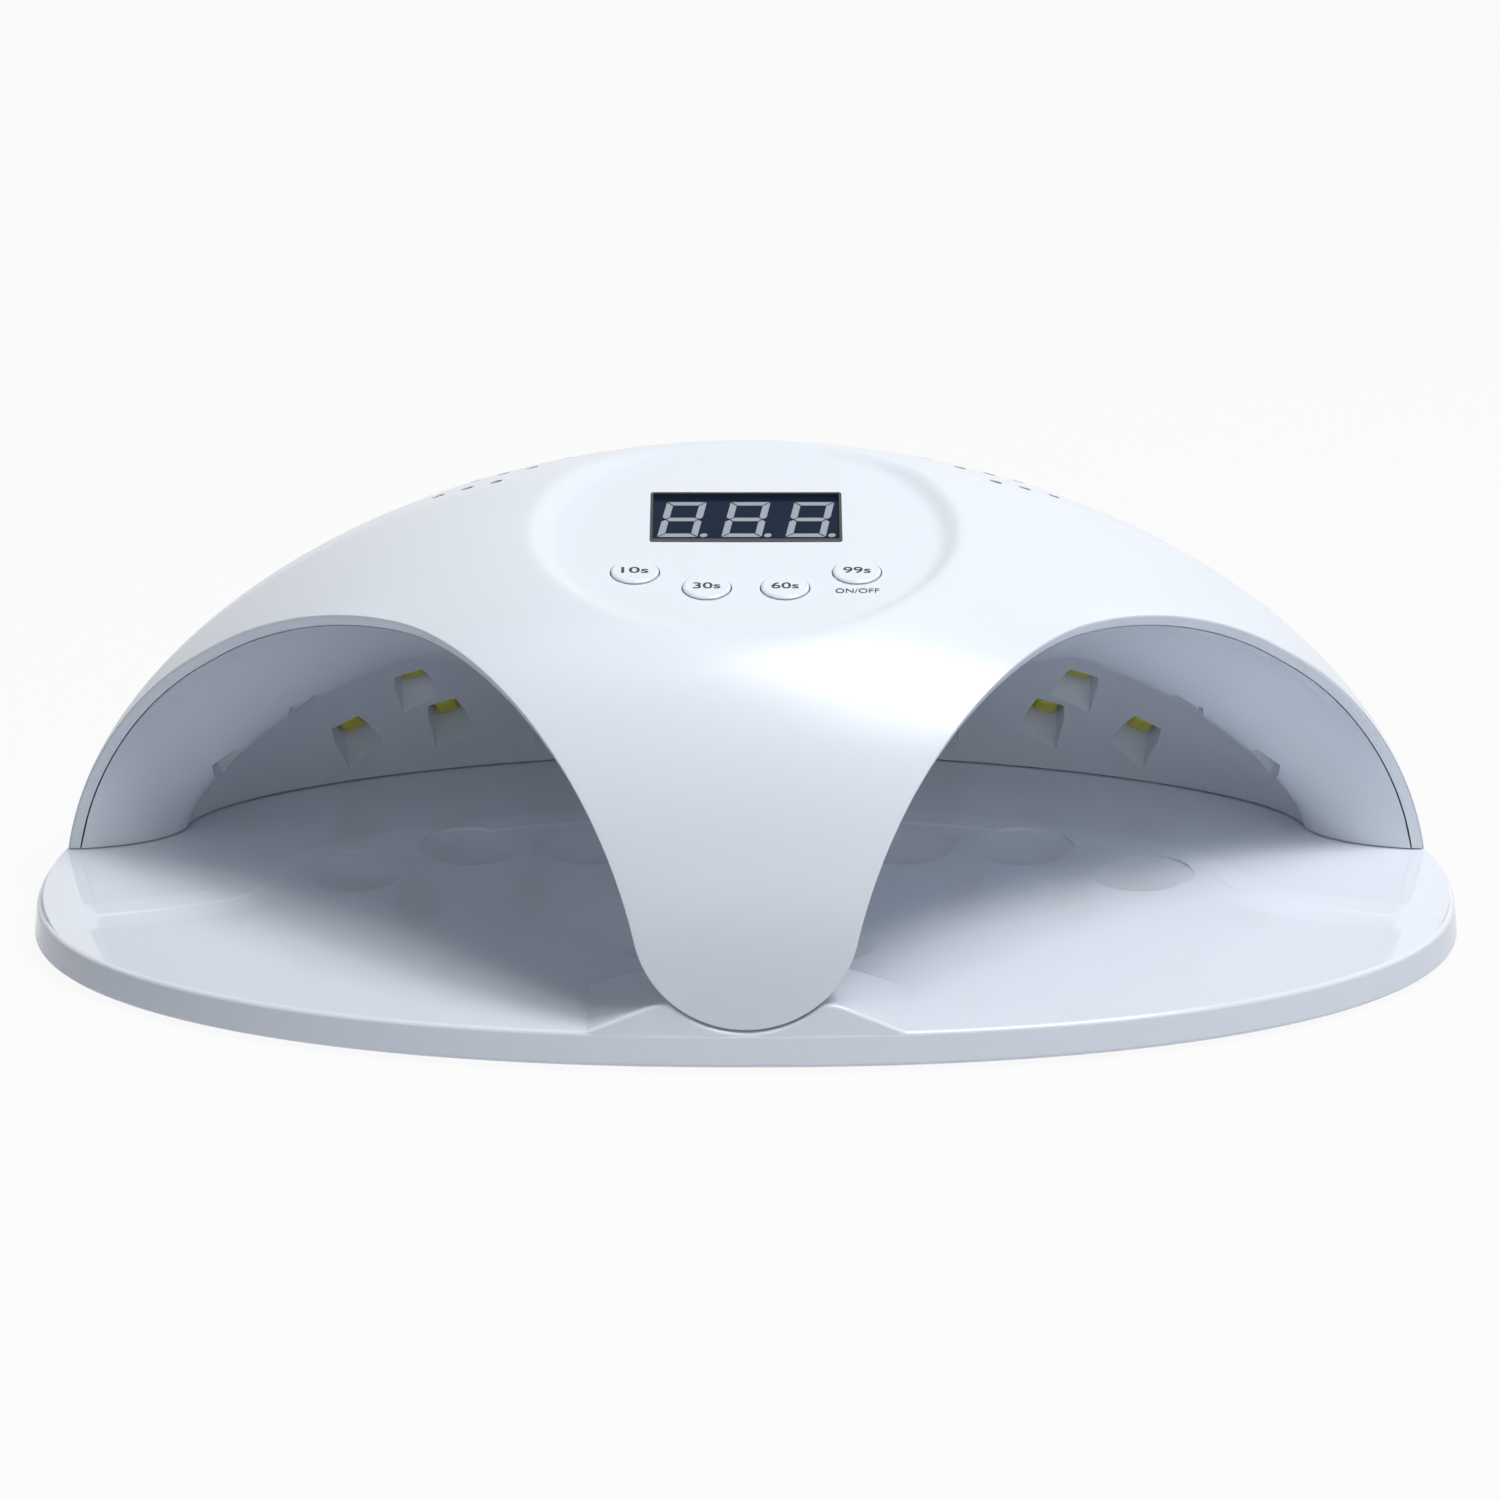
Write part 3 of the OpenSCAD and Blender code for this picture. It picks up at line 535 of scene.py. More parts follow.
def scoop(u, v, grow, low, high, reach):
    """A pocket's opening: square at the chip, and drawn out towards the front at its mouth."""
    levels = [z for z in (low, -4, 0, 1.5, 3.7, high) if low <= z <= high]
    fronts = [2 * reach - 2, reach, 0.75 * reach, 0.48 * reach, 2.9]
    rings = []
    for z in levels:
        half = np.interp(z, [-8, 0, 3.7, 6.5], [5.4, 4.1, 3.2, 2.9]) + grow
        front = np.interp(z, [-8, 0, 1.5, 3.7, 6.5], fronts) + grow
        narrow = 0.82 * half
        rings.append([[-narrow, -front, z], [narrow, -front, z], [half, -0.4 * front, z],
                      [half, half, z], [-half, half, z], [-half, -0.4 * front, z]])
    n = len(levels)
    faces = grid_faces(n, 6, True).tolist() + [[5, 4, 3, 2, 1, 0], [6 * n - 6 + k for k in range(6)]]
    return new_object("scoop", pocket_place(u, v)(np.array(rings).reshape(-1, 3)), faces)


def standing_solid(name, upper, foot):
    """Closed solid from a surface straight down to a height."""
    lower = upper * [1, 1, 0] + [0, 0, foot]
    return solid_from_rows(name, np.concatenate([upper, lower[:, ::-1]], 1))


chamber_rows = lining_at(lining_x[:, None], section_v)
chamber_rows = chamber_rows + 0.4 * lining_normal(lining_x[:, None], section_v)
chamber = standing_solid("chamber", chamber_rows, sill - 30)
# Every other pocket of a row goes into one group, so that no two solids of a group touch.
pocket_groups = [[p for p in pocket_seats if p[1] == row and p[0] * side > 0][odd::2]
                 for side in (-1, 1) for row in pocket_rows for odd in (0, 1)]
for group in pocket_groups:
    cups = joined("cups", [scoop(u, v, cup_wall, -4, pocket_depth, reaches[v]) for u, v in group])
    clear = chamber.copy()
    clear.data = chamber.data.copy()
    scene.collection.objects.link(clear)
    cut(cups, clear)
    cut(lining, cups, "UNION")
for group in pocket_groups:
    scoops = [scoop(u, v, 0, -8, pocket_depth + 0.5, reaches[v]) for u, v in group]
    cut(lining, joined("scoops", scoops))
bpy.data.objects.remove(chamber)
below = np.array([[-160, -120], [160, -120], [160, 120], [-160, 120]])
cut(lining, prism("below", below, sill - 30, sill))

trim_w = np.concatenate([spaced(0, 1, 0.05), spaced(1.05, 2, 0.06)])
x, w = spread(stations, trim_w)
shell_inside = kept_up(dome_at(x, w) - (shell_wall + trim_gap) * dome_normal(x, w))
cut(lining, standing_solid("filling", shell_inside, sill - 5), "INTERSECT")
shade(lining, 28)
print("reflector:", len(lining.data.polygons), "faces,", len(pocket_seats), "pockets")

# %% [markdown]
# Each LED is a square chip under a yellow lens that stands up from its board. The CAD's chips are
# plain plates, so these take their places.

# %% LED lenses
def led_lens(u, v):
    rings = []
    for z, half in ((pocket_depth, 2.55), (4.9, 2.55), (4.1, 2.4), (3.75, 2.1), (3.65, 1.6)):
        a = np.arange(32) * math.pi / 16
        c, s = np.cos(a), np.sin(a)
        square = [half * np.sign(t) * np.abs(t) ** 0.35 for t in (c, s)]
        rings.append(np.c_[square[0], square[1], np.full(32, z)])
    faces = grid_faces(len(rings), 32, True)[:, ::-1].tolist()
    faces += [list(range(32)), [32 * len(rings) - 1 - k for k in range(32)]]
    return new_object("lens", pocket_place(u, v)(np.vstack(rings)), faces, 40)


lenses = {side: joined("led_lenses_" + side,
                       [led_lens(u, v) for u, v in pocket_seats if (u < 0) == (side == "left")])
          for side in ("left", "right")}
print("LED lenses:", {side: len(o.data.polygons) for side, o in lenses.items()})

# %% [markdown]
# ## The tray
# The tray is a separate plate. Its rim is a lofted outline with a fillet at the top and the
# bottom. The part that the hands rest on lies a little lower, with shallow round dimples for the
# fingertips, and a small wedge in the middle holds the tip of the post.

# %% Tray outline and fillets
def stacked(name, rings):
    """Closed solid through level rings that run anticlockwise, from the lowest up."""
    n, last = len(rings[0]), (len(rings) - 1) * len(rings[0])
    faces = grid_faces(len(rings), n, True).tolist()
    faces += [list(range(n))[::-1], [last + k for k in range(n)]]
    return new_object(name, np.vstack(rings), faces)


outline_steps = 288
floor_drop = 1.2


def plan_outline(offset):
    a = np.arange(outline_steps) * 2 * math.pi / outline_steps
    c, s = np.cos(a), np.sin(a)
    reach = np.where(s < 0, tray_d / 2 + plan_y, tray_d / 2 - plan_y) + offset
    return np.c_[(tray_w / 2 + offset) * np.sign(c) * np.abs(c) ** (2 / tray_n),
                 plan_y + reach * np.sign(s) * np.abs(s) ** (2 / tray_n)]


def tray_block(name, levels):
    rings = [np.c_[plan_outline(offset), np.full(outline_steps, z)] for z, offset in levels]
    return stacked(name, rings)


floor_z = tray_top - floor_drop
bottom_fillet = [(2 - math.cos(a), -1.4 + 1.4 * math.sin(a)) for a in np.radians(np.linspace(0, 90, 6))]
top_fillet = [(7 + math.sin(a), -1.6 + math.cos(a)) for a in np.radians(np.linspace(4, 90, 8))]
step_fillet = [(8.15, -1.66), (8.9, -1.76)]
step_fillet += [(8.9 + 0.3 * math.sin(a), -2.1 + 0.34 * math.cos(a)) for a in np.radians([30, 60, 90])]
tray = tray_block("base_tray_smooth", bottom_fillet + top_fillet + step_fillet)

# %% [markdown]
# The lowered floor is cut with a solid whose sides slope gently, with one small step halfway up.
# Its edge runs from the rim to the housing's feet and then as an oval behind them, and a few
# rounds of corner cutting make it smooth.

# %% Lowered floor
def corner_cut(points, rounds=3):
    points = np.asarray(points, float)
    for _ in range(rounds):
        a, b = points[:-1], points[1:]
        inner = np.stack([0.75 * a + 0.25 * b, 0.25 * a + 0.75 * b], 1).reshape(-1, 2)
        points = np.vstack([points[:1], inner, points[-1:]])
    return points


oval = np.array([[100 * math.cos(a), -15.2 + 50 * math.sin(a)]
                 for a in np.radians(np.linspace(10, 170, 81))])
right = [[166, -34.7], [140, -27.4], [122, -22], [109, -17.2], [102.5, -14], [99, -8]]
left = [[-x, y] for x, y in right[::-1]]
edge = np.vstack([[[-166, -125], [166, -125]], corner_cut(right), oval, corner_cut(left)])


def evenly(path, step):
    """The closed path with its points spread evenly, about a step apart."""
    path = np.vstack([path, path[:1]])
    run = np.concatenate([[0], np.cumsum(np.linalg.norm(np.diff(path, axis=0), axis=1))])
    at = np.linspace(0, run[-1], int(run[-1] / step), endpoint=False)
    return np.c_[np.interp(at, run, path[:, 0]), np.interp(at, run, path[:, 1])]


def widened(outline, by):
    """Moves a closed path outwards. Where it would cross itself in a bend, the loop is bridged."""
    along = unit(np.roll(outline, -1, 0) - np.roll(outline, 1, 0))
    moved = outline + by * np.c_[along[:, 1], -along[:, 0]]
    near = np.sqrt(((moved[:, None] - outline[None]) ** 2).sum(-1)).min(1)
    good = np.flatnonzero(near > 0.97 * abs(by))
    k = np.arange(len(moved))
    moved = np.c_[np.interp(k, good, moved[good, 0]), np.interp(k, good, moved[good, 1])]
    for _ in range(int(2 * abs(by))):
        moved = 0.5 * moved + 0.25 * (np.roll(moved, 1, 0) + np.roll(moved, -1, 0))
    return moved


edge = evenly(edge, 1.3)
rise_out = [(0, -6.5), (0.06, -5.2), (0.22, -2.8), (0.4, -0.5), (0.47, -0.1), (0.69, 0.2),
            (0.76, 0.6), (0.94, 2.9)]
slope = [(floor_z + rise, by) for rise, by in rise_out]
slope += [(tray_top - 0.12, 5.0), (tray_top + 0.04, 7.2), (tray_top + 6, 14)]
cut(tray, stacked("hand_floor", [np.c_[widened(edge, by), np.full(len(edge), z)] for z, by in slope]))

# %% Dimples
dimple_r, dimple_depth = 10.0, 0.8
ball_r = (dimple_r ** 2 + dimple_depth ** 2) / (2 * dimple_depth)
one_hand = ((80.8, 1.2), (57.1, 17.1), (32.5, 17.4), (11, 8), (16.2, -39.5))
dimple_seats = [(s * x, y) for s in (-1, 1) for x, y in one_hand]


def dimple_cutter(x, y, steps=64):
    """The low part of a ball, up to a little above the floor, with an upright wall on top."""
    widest = 1.12 * math.asin(dimple_r / ball_r)
    profile = [(ball_r * math.sin(a), ball_r - ball_r * math.cos(a))
               for a in np.linspace(0, widest, 12)[1:]]
    profile.append((profile[-1][0], 3.0))
    low = floor_z - dimple_depth
    turns = [2 * math.pi * k / steps for k in range(steps)]
    verts = [[x, y, low]]
    for r, z in profile:
        verts += [[x + r * math.cos(a), y + r * math.sin(a), low + z] for a in turns]
    faces = [[0, 1 + (k + 1) % steps, 1 + k] for k in range(steps)]
    faces += (grid_faces(len(profile), steps, True) + 1).tolist()
    faces.append([len(verts) - steps + k for k in range(steps)])
    return new_object("dimple", verts, faces)


for x, y in dimple_seats:
    cut(tray, dimple_cutter(x, y))
print(len(dimple_seats), "dimples")

# %% [markdown]
# The wedge grows out of the rim, with its front flush with the rim's wall. It is a small height
# field: the lowest of its side slopes, its top, its back slope and the round notch for the post,
# blended softly where they meet. The underside is hollow between its ribs, as on any moulded tray.

# %% Wedge
mound_top, notch_r = 13.8, post_r + 0.4
mound_foot, side_run = 31, 13.5          # half width at the floor, run of a side slope
back_start, back_run = 65.5, 5           # where the back slope starts, and its run
wedge_end = -59.4


def rim_front(x, z):
    """The rim's front wall, which leans back as it rises."""
    offset = -0.5 - (z - 6) / 8.8 * 1.1
    return plan_y - (tray_d / 2 + plan_y + offset) * arch(x / (tray_w / 2 + offset), tray_n)


def wedge_height(x, y):
    sides = floor_z + (mound_top - floor_z) * (mound_foot - np.abs(x)) / side_run
    notch = post_z - np.sqrt(np.maximum(0, notch_r ** 2 - x ** 2))
    notch = np.where(np.abs(x) < notch_r - 1, notch, 40)
    back = mound_top - (mound_top - floor_z) * (y + back_start) / back_run
    low = soft_min(soft_min(soft_min(sides, mound_top + 0 * x, 0.5), back, 0.6), notch, 0.35)
    return np.maximum(low, floor_z - 0.6)


wedge_x = np.unique(np.concatenate([spaced(-32.4, -13, 0.45), spaced(-13, 13, 0.5),
                                    spaced(13, 32.4, 0.45)]))
wedge_foot, wedge_bottom = floor_z - 0.7, floor_z - 1.4
wedge_rows = []
for x in wedge_x:
    top = float(wedge_height(x, -75.0))
    r = min(0.75, top - wedge_foot)
    inset = 0.25 * max(0, floor_z + 0.6 - top)
    front = [[x, float(rim_front(x, wedge_bottom)) + inset + 0.8, wedge_bottom]]
    front += [[x, float(rim_front(x, z)) + inset, z]
              for z in np.linspace(wedge_foot, max(top - r, wedge_foot + 0.001), 8)]
    y0, z0 = front[-1][1:]
    fillet = [[x, y0 + r * (1 - math.cos(a)), z0 + r * math.sin(a)]
              for a in np.radians([18, 36, 54, 72, 90])]
    ys = np.concatenate([np.linspace(y0 + r, -66.5, 10)[1:], np.linspace(-66.5, wedge_end, 15)[1:]])
    over = [[x, y, min(float(wedge_height(x, y)), fillet[-1][2])] for y in ys]
    upper = front + fillet + over
    under = [[x, y, wedge_bottom] for y in np.linspace(wedge_end, y0 + 1.2, len(upper))]
    wedge_rows.append(upper + under)
wedge = solid_from_rows("wedge", np.array(wedge_rows))
cut(tray, wedge, "UNION")

# %% Underside
foot_seats = [(-112, -35), (-112, 35), (0, -72), (0, 74), (112, -35), (112, 35)]
boss_r, socket_r, disc_r, rib_half = 8, 6.05, 5.05, 0.8
cavity = tray_block("cavity", [(tray_base - 1, -3.8), (floor_z - 2.2, -4)])
cut(cavity, joined("bosses", [prism("boss", circle(x, y, boss_r, 48), -1, 9) for x, y in foot_seats]))


def bar(x0, x1, y0, y1):
    return prism("rib", [[x0, y0], [x1, y0], [x1, y1], [x0, y1]], tray_base + 0.4, 9)


for x in range(-96, 97, 32):
    cut(cavity, bar(x - rib_half, x + rib_half, -95, 95))
for y in (-56, -18, 20, 58):
    cut(cavity, bar(-150, 150, y - rib_half, y + rib_half))
cut(tray, cavity)
cut(tray, joined("sockets", [prism("socket", circle(x, y, socket_r, 64), -1, tray_base + 1.2)
                             for x, y in foot_seats]))
disc_seats = [(s * x, y) for s in (-1, 1) for x, y in ((30.2, 78.9), (113, 46.5))]
cut(tray, joined("seats", [prism("seat", circle(x, y, disc_r, 64), tray_top - 1.2, tray_top + 1)
                           for x, y in disc_seats]))
shade(tray, 38)
weights = tray.modifiers.new("weights", "WEIGHTED_NORMAL")
weights.keep_sharp = True
print("tray:", len(tray.data.polygons), "faces")

# %% [markdown]
# ## Lettering
# The keys carry their times, and the last one ON/OFF below it. Text curves become thin meshes
# that stand a few hundredths of a millimetre proud, as a printed layer of ink does.

# %% Lettering
key_proud = 0.5


def lettering(name, words, size, width, seat, lift, bold=0.0):
    """Words in the panel's own frame, stretched to a width in mm, as a thin mesh."""
    curve = bpy.data.curves.new(name, "FONT")
    curve.body, curve.size, curve.align_x, curve.align_y = words, size, "CENTER", "CENTER"
    curve.extrude, curve.offset, curve.resolution_u = 0.02, bold, 6
    text = bpy.data.objects.new(name, curve)
    scene.collection.objects.link(text)
    mesh = evaluated_mesh(text)
    bpy.data.objects.remove(text)
    pts = np.array([v.co[:] for v in mesh.vertices])
    middle = (pts[:, 0].max() + pts[:, 0].min()) / 2
    pts[:, 0] = (pts[:, 0] - middle) * width / (pts[:, 0].max() - pts[:, 0].min())
    pts[:, 1] -= (pts[:, 1].max() + pts[:, 1].min()) / 2
    pts = on_panel(pts + [seat[0], seat[1], lift])
    for v, p in zip(mesh.vertices, pts * MM):
        v.co = p
    obj = bpy.data.objects.new(name, mesh)
    scene.collection.objects.link(obj)
    return obj


key_text = {t: lettering("text_" + t, t, 3.3, 5.4, seat, key_proud + 0.01, 0.05)
            for t, seat in key_seats.items()}
on_off = lettering("text_on_off", "ON/OFF", 2.5, 8.6, (21.9, -21.6), 0.01, 0.0)
print("lettering:", ", ".join(key_text), "and ON/OFF")

# %% [markdown]
# A thin black lining covers the window's walls and fills the gap between the display and its
# window. It stands for the display's dark bezel and is also painted shade on the window's walls,
# so that no white edge shows beside the dark glass. The three unlit figures are seven bars and a
# dot each, with mitred ends and a slight lean.

# %% Display
def tube(name, outer, inner, low, high):
    """A frame in the panel's own frame, between two outlines of equal length."""
    n = len(outer)
    corners = ((low, outer), (high, outer), (high, inner), (low, inner))
    rings = [np.c_[outline, np.full(n, z)] for z, outline in corners]
    return new_object(name, on_panel(np.vstack(rings)), grid_faces(5, n, True) % (4 * n))


just_inside = window_outline * [0.999, 0.999] + [0, 0.004]
glass_outline = rounded_box(37.3, 18.7, 0.3) + [0, display_v]
# Black lining of the window: the display's dark bezel, and painted shade on the window's walls
bezel_and_painted_shade = tube("display_bezel_and_painted_shade", just_inside, glass_outline, -2.3, -0.1)

# Half a figure's width and height, a bar's width, the gap at a mitre, lean and pitch
fig_a, fig_b, bar_w, bar_gap, lean, fig_pitch = 4.0, 7.2, 1.4, 0.2, 0.13, 12.8
level = [[-fig_a + bar_gap, fig_b], [-fig_a + bar_w + bar_gap, fig_b - bar_w],
         [fig_a - bar_w - bar_gap, fig_b - bar_w], [fig_a - bar_gap, fig_b]]
middle = [[-fig_a + bar_w / 2 + bar_gap, 0], [-fig_a + bar_w + bar_gap, -bar_w / 2],
          [fig_a - bar_w - bar_gap, -bar_w / 2], [fig_a - bar_w / 2 - bar_gap, 0],
          [fig_a - bar_w - bar_gap, bar_w / 2], [-fig_a + bar_w + bar_gap, bar_w / 2]]
upright = [[-fig_a, fig_b - bar_gap], [-fig_a, bar_w / 2 + bar_gap],
           [-fig_a + bar_w / 2, bar_gap], [-fig_a + bar_w, bar_w / 2 + bar_gap],
           [-fig_a + bar_w, fig_b - bar_w - bar_gap]]


def mirrored(outline, sx, sy):
    flipped = np.array(outline) * [sx, sy]
    return flipped if sx * sy > 0 else flipped[::-1]


bars = [mirrored(level, 1, 1), mirrored(level, 1, -1), np.array(middle)]
bars += [mirrored(upright, sx, sy) for sx in (-1, 1) for sy in (-1, 1)]
bars.append(circle(5.2, -6.5, 0.75, 24))
slant = np.array([[1, 0], [lean, 1]])
fig_back, fig_front = -1.05, -0.93
figures = joined("display_figures",
                 [prism("bar", bar @ slant + [k * fig_pitch, display_v], fig_back, fig_front, on_panel)
                  for k in (-1, 0, 1) for bar in bars])
print("display: surround of", len(bezel_and_painted_shade.data.polygons), "faces and", 3 * len(bars), "bars and dots")

# %% [markdown]
# ## Finishes
# A finish is a small program of shader nodes. `Wire` wraps one socket, so that sums on numbers
# read as ordinary Python, and `Finish.node` makes any other node from its type, its settings and
# the values or links of its sockets.

# %% Shader helpers
class Wire:
    """A socket that can stand in a Python expression."""
    def __init__(self, finish, socket):
        self.finish, self.socket = finish, socket

    def _maths(self, operation, a, b):
        return self.finish.node("ShaderNodeMath", {"operation": operation}, {0: a, 1: b})

    def __add__(self, other):
        return self._maths("ADD", self, other)

    def __mul__(self, other):
        return self._maths("MULTIPLY", self, other)

    def __gt__(self, other):
        return self._maths("GREATER_THAN", self, other)

    def __radd__(self, other):
        return self._maths("ADD", other, self)

    def __rsub__(self, other):
        return self._maths("SUBTRACT", other, self)

    def __rmul__(self, other):
        return self._maths("MULTIPLY", other, self)


class Finish:
    """A material whose surface is one Principled shader; fixed values go straight on its sockets."""
    def __init__(self, name, **fixed):
        self.material = bpy.data.materials.new(name)
        self.material.use_nodes = True
        self.tree = self.material.node_tree
        self.tree.nodes.clear()
        self.output = self.tree.nodes.new("ShaderNodeOutputMaterial")
        self.shader = self.tree.nodes.new("ShaderNodeBsdfPrincipled")
        self.tree.links.new(self.shader.outputs[0], self.output.inputs["Surface"])
        self.set(**fixed)

    def set(self, **values):
        for name, value in values.items():
            self.fill(self.shader.inputs[name.replace("_", " ")], value)

    def fill(self, socket, value):
        if isinstance(value, Wire):
            self.tree.links.new(value.socket, socket)
        elif isinstance(value, tuple) and len(value) == 3 and len(socket.default_value) == 4:
            socket.default_value = (*value, 1)
        else:
            socket.default_value = value

    def node(self, kind, settings=None, sockets=None, output=0):
        made = self.tree.nodes.new(kind)
        for key, value in (settings or {}).items():
            if key == "stops":
                ramp = made.color_ramp.elements
                while len(ramp) < len(value):
                    ramp.new(0.5)
                for stop, (place, colour) in zip(ramp, value):
                    stop.position, stop.color = place, (*colour, 1)
            else:
                setattr(made, key, value)
        for key, value in (sockets or {}).items():
            self.fill(made.inputs[key], value)
        return Wire(self, made.outputs[output])

    def place(self):
        return self.node("ShaderNodeTexCoord", output="Object")

    def noise(self, scale, detail=2.0, roughness=0.5, at=None):
        sockets = {"Vector": at or self.place(), "Scale": scale, "Detail": detail,
                   "Roughness": roughness}
        return self.node("ShaderNodeTexNoise", {}, sockets)

    def colours(self, amount, a, b):
        return self.node("ShaderNodeMix", {"data_type": "RGBA"}, {0: amount, 6: a, 7: b}, 2)

    def bump(self, height, distance):
        sockets = {"Height": height, "Distance": distance, "Strength": 1.0}
        self.set(Normal=self.node("ShaderNodeBump", {}, sockets))

# %% [markdown]
# Moulded ABS is white with a touch of blue, and glossy. A mould is never quite flat, so a very
# shallow long wave bends the reflections a little, and a fine one breaks up the gloss.

# %% White plastics
def white_plastic(name, tone, shadow_tone, gloss, ripple):
    f = Finish(name, Specular_IOR_Level=0.5, IOR=1.5)
    broad = f.noise(14, 2)
    fine = f.noise(900, 3)
    f.set(Base_Color=f.colours(broad, shadow_tone, tone),
          Roughness=gloss + 0.03 * broad + 0.012 * fine)
    f.bump(f.noise(38, 1) * ripple + fine * 0.0015, 0.0004)
    return f.material


shell_white = white_plastic("shell_plastic", (0.79, 0.84, 0.908), (0.77, 0.825, 0.898), 0.23, 0.05)
tray_white = white_plastic("tray_plastic", (0.80, 0.845, 0.92), (0.785, 0.83, 0.91), 0.03, 0.03)
lining_white = white_plastic("reflector_plastic", (0.79, 0.83, 0.905), (0.77, 0.815, 0.895), 0.2, 0.05)
key_white = white_plastic("key_plastic", (0.81, 0.855, 0.925), (0.79, 0.84, 0.915), 0.2, 0.03)
print("white plastics made")

# %% [markdown]
# Everything else is a plain colour with a fine grain: the printed ink, the display's dark glass
# and its pale unlit bars, rubber, cables, the keys' plungers and the LEDs' white boards.

# %% Plain finishes
def plain_finish(name, light, dark, rough, grain=400, depth=0.0001, **fixed):
    f = Finish(name, **fixed)
    grit = f.noise(grain, 3)
    f.set(Base_Color=f.colours(grit, dark, light), Roughness=rough + 0.08 * grit)
    f.bump(grit, depth)
    return f.material


ink = plain_finish("printed_ink", (0.012, 0.012, 0.018), (0.006, 0.006, 0.01), 0.35, 2500, 0.00001)
display_dark = plain_finish("display_window", (0.008, 0.018, 0.045), (0.006, 0.014, 0.036), 0.1,
                            1200, 0.00001, Specular_IOR_Level=0.03)
segment_grey = plain_finish("unlit_bars", (0.33, 0.37, 0.42), (0.28, 0.32, 0.37), 0.4, 1500, 0.00002)
rubber = plain_finish("grey_rubber", (0.06, 0.06, 0.065), (0.03, 0.03, 0.033), 0.75, 1100, 0.00012)
black_plastic = plain_finish("black_plastic", (0.03, 0.03, 0.033), (0.018, 0.018, 0.02), 0.4,
                             800, 0.00005)
cable_black = plain_finish("black_cable", (0.025, 0.025, 0.027), (0.015, 0.015, 0.017), 0.5,
                           600, 0.00005)
cable_white = plain_finish("white_cable", (0.78, 0.78, 0.76), (0.7, 0.7, 0.68), 0.5, 600, 0.00005)
plunger_grey = plain_finish("plunger_plastic", (0.5, 0.5, 0.48), (0.44, 0.44, 0.42), 0.5, 700, 0.00004)
led_board = plain_finish("white_solder_mask", (0.8, 0.81, 0.8), (0.72, 0.74, 0.73), 0.35, 900, 0.00003)

# %% Metal, circuit board and LED chips
def metal(name, light, dark, rough):
    f = Finish(name, Metallic=1.0)
    stretch = f.node("ShaderNodeVectorMath", {"operation": "MULTIPLY"}, {0: f.place(), 1: (1, 9, 1)})
    scratch = f.noise(500, 4, 0.6, stretch)
    f.set(Base_Color=f.colours(scratch, dark, light), Roughness=rough + 0.15 * scratch)
    f.bump(scratch, 0.00003)
    return f.material


steel = metal("zinc_steel", (0.62, 0.63, 0.65), (0.5, 0.51, 0.53), 0.25)
nickel = metal("magnet_nickel", (0.72, 0.7, 0.66), (0.6, 0.58, 0.55), 0.15)

board = Finish("green_board", Roughness=0.35)
cells = board.node("ShaderNodeTexVoronoi", {"feature": "DISTANCE_TO_EDGE", "distance": "EUCLIDEAN"},
                   {"Vector": board.place(), "Scale": 260.0})
tracks = cells > 0.09
board.set(Base_Color=board.colours(tracks, (0.05, 0.2, 0.09), (0.015, 0.09, 0.04)),
          Roughness=0.3 + 0.1 * board.noise(700))
board.bump(1 - tracks, 0.00004)

phosphor = Finish("yellow_phosphor")
speckle = phosphor.noise(2200, 3)
phosphor.set(Base_Color=phosphor.colours(speckle, (0.62, 0.55, 0.03), (0.78, 0.74, 0.08)),
             Roughness=0.3 + 0.15 * speckle)
phosphor.bump(speckle, 0.00004)
print(len(bpy.data.materials), "materials so far")

# %% Finishes on the pieces
def finish(names, material):
    for name in names.split():
        slots = nodes[name].data.materials
        for k in range(len(slots)):
            slots[k] = material


finish("rubber_feet", rubber)
finish("tray_discs reflector_screws board_screws", steel)
finish("housing_magnets", nickel)
finish("control_board", board.material)
finish("display_module", display_dark)
finish("board_components tact_switches", black_plastic)
finish("key_10s key_30s key_60s key_99s", key_white)
finish("plunger_10s plunger_30s plunger_60s plunger_99s", plunger_grey)
finish("led_boards_left led_boards_right", led_board)
finish("dc_jack", black_plastic)
finish("dc_cable", cable_black)
finish("led_cable_left led_cable_right", cable_white)
new_pieces = [(shell, shell_white), (lining, lining_white), (tray, tray_white),
              (bezel_and_painted_shade, black_plastic), (figures, segment_grey)]
new_pieces += [(lens, phosphor.material) for lens in lenses.values()]
new_pieces += [(text, ink) for text in (on_off, *key_text.values())]
for piece, material in new_pieces:
    piece.data.materials.clear()
    piece.data.materials.append(material)

# %% Riding on the bodies
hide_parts("outer_shell")
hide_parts("inner_reflector")
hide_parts("base_tray")
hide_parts("display_segments")
for side, lens in lenses.items():
    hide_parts("led_chips_" + side)
    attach(lens, "housing")
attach(figures, "housing")
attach(shell, "housing")
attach(lining, "housing")
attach(tray, "tray")
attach(on_off, "housing")
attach(bezel_and_painted_shade, "housing")
for t, text in key_text.items():
    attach(text, "button_" + t)

# %% [markdown]
# ## Studio
# The nail lamp stands on a pale floor that looks almost as white as the background. Three soft
# key lights hang above it, most of them to the right, which puts the highlight right of the post
# and the shadow on the left of the tray. Weaker lights on every side lift the openings and rims.

# %% Floor and world
floor_mesh = bpy.data.meshes.new("floor")
floor_mesh.from_pydata([(-6, -6, 0), (6, -6, 0), (6, 6, 0), (-6, 6, 0)], [], [(0, 1, 2, 3)])   # metres
floor = bpy.data.objects.new("floor", floor_mesh)
scene.collection.objects.link(floor)


def seen_directly(f):
    """1 for rays from the camera, in a reflection or through glass; 0 for soft bounced light."""
    path = f.tree.nodes.new("ShaderNodeLightPath")
    camera, glossy, through = [Wire(f, path.outputs["Is %s Ray" % kind])
                               for kind in ("Camera", "Glossy", "Transmission")]
    return f.node("ShaderNodeMath", {"operation": "MINIMUM"}, {0: camera + glossy + through, 1: 1.0})


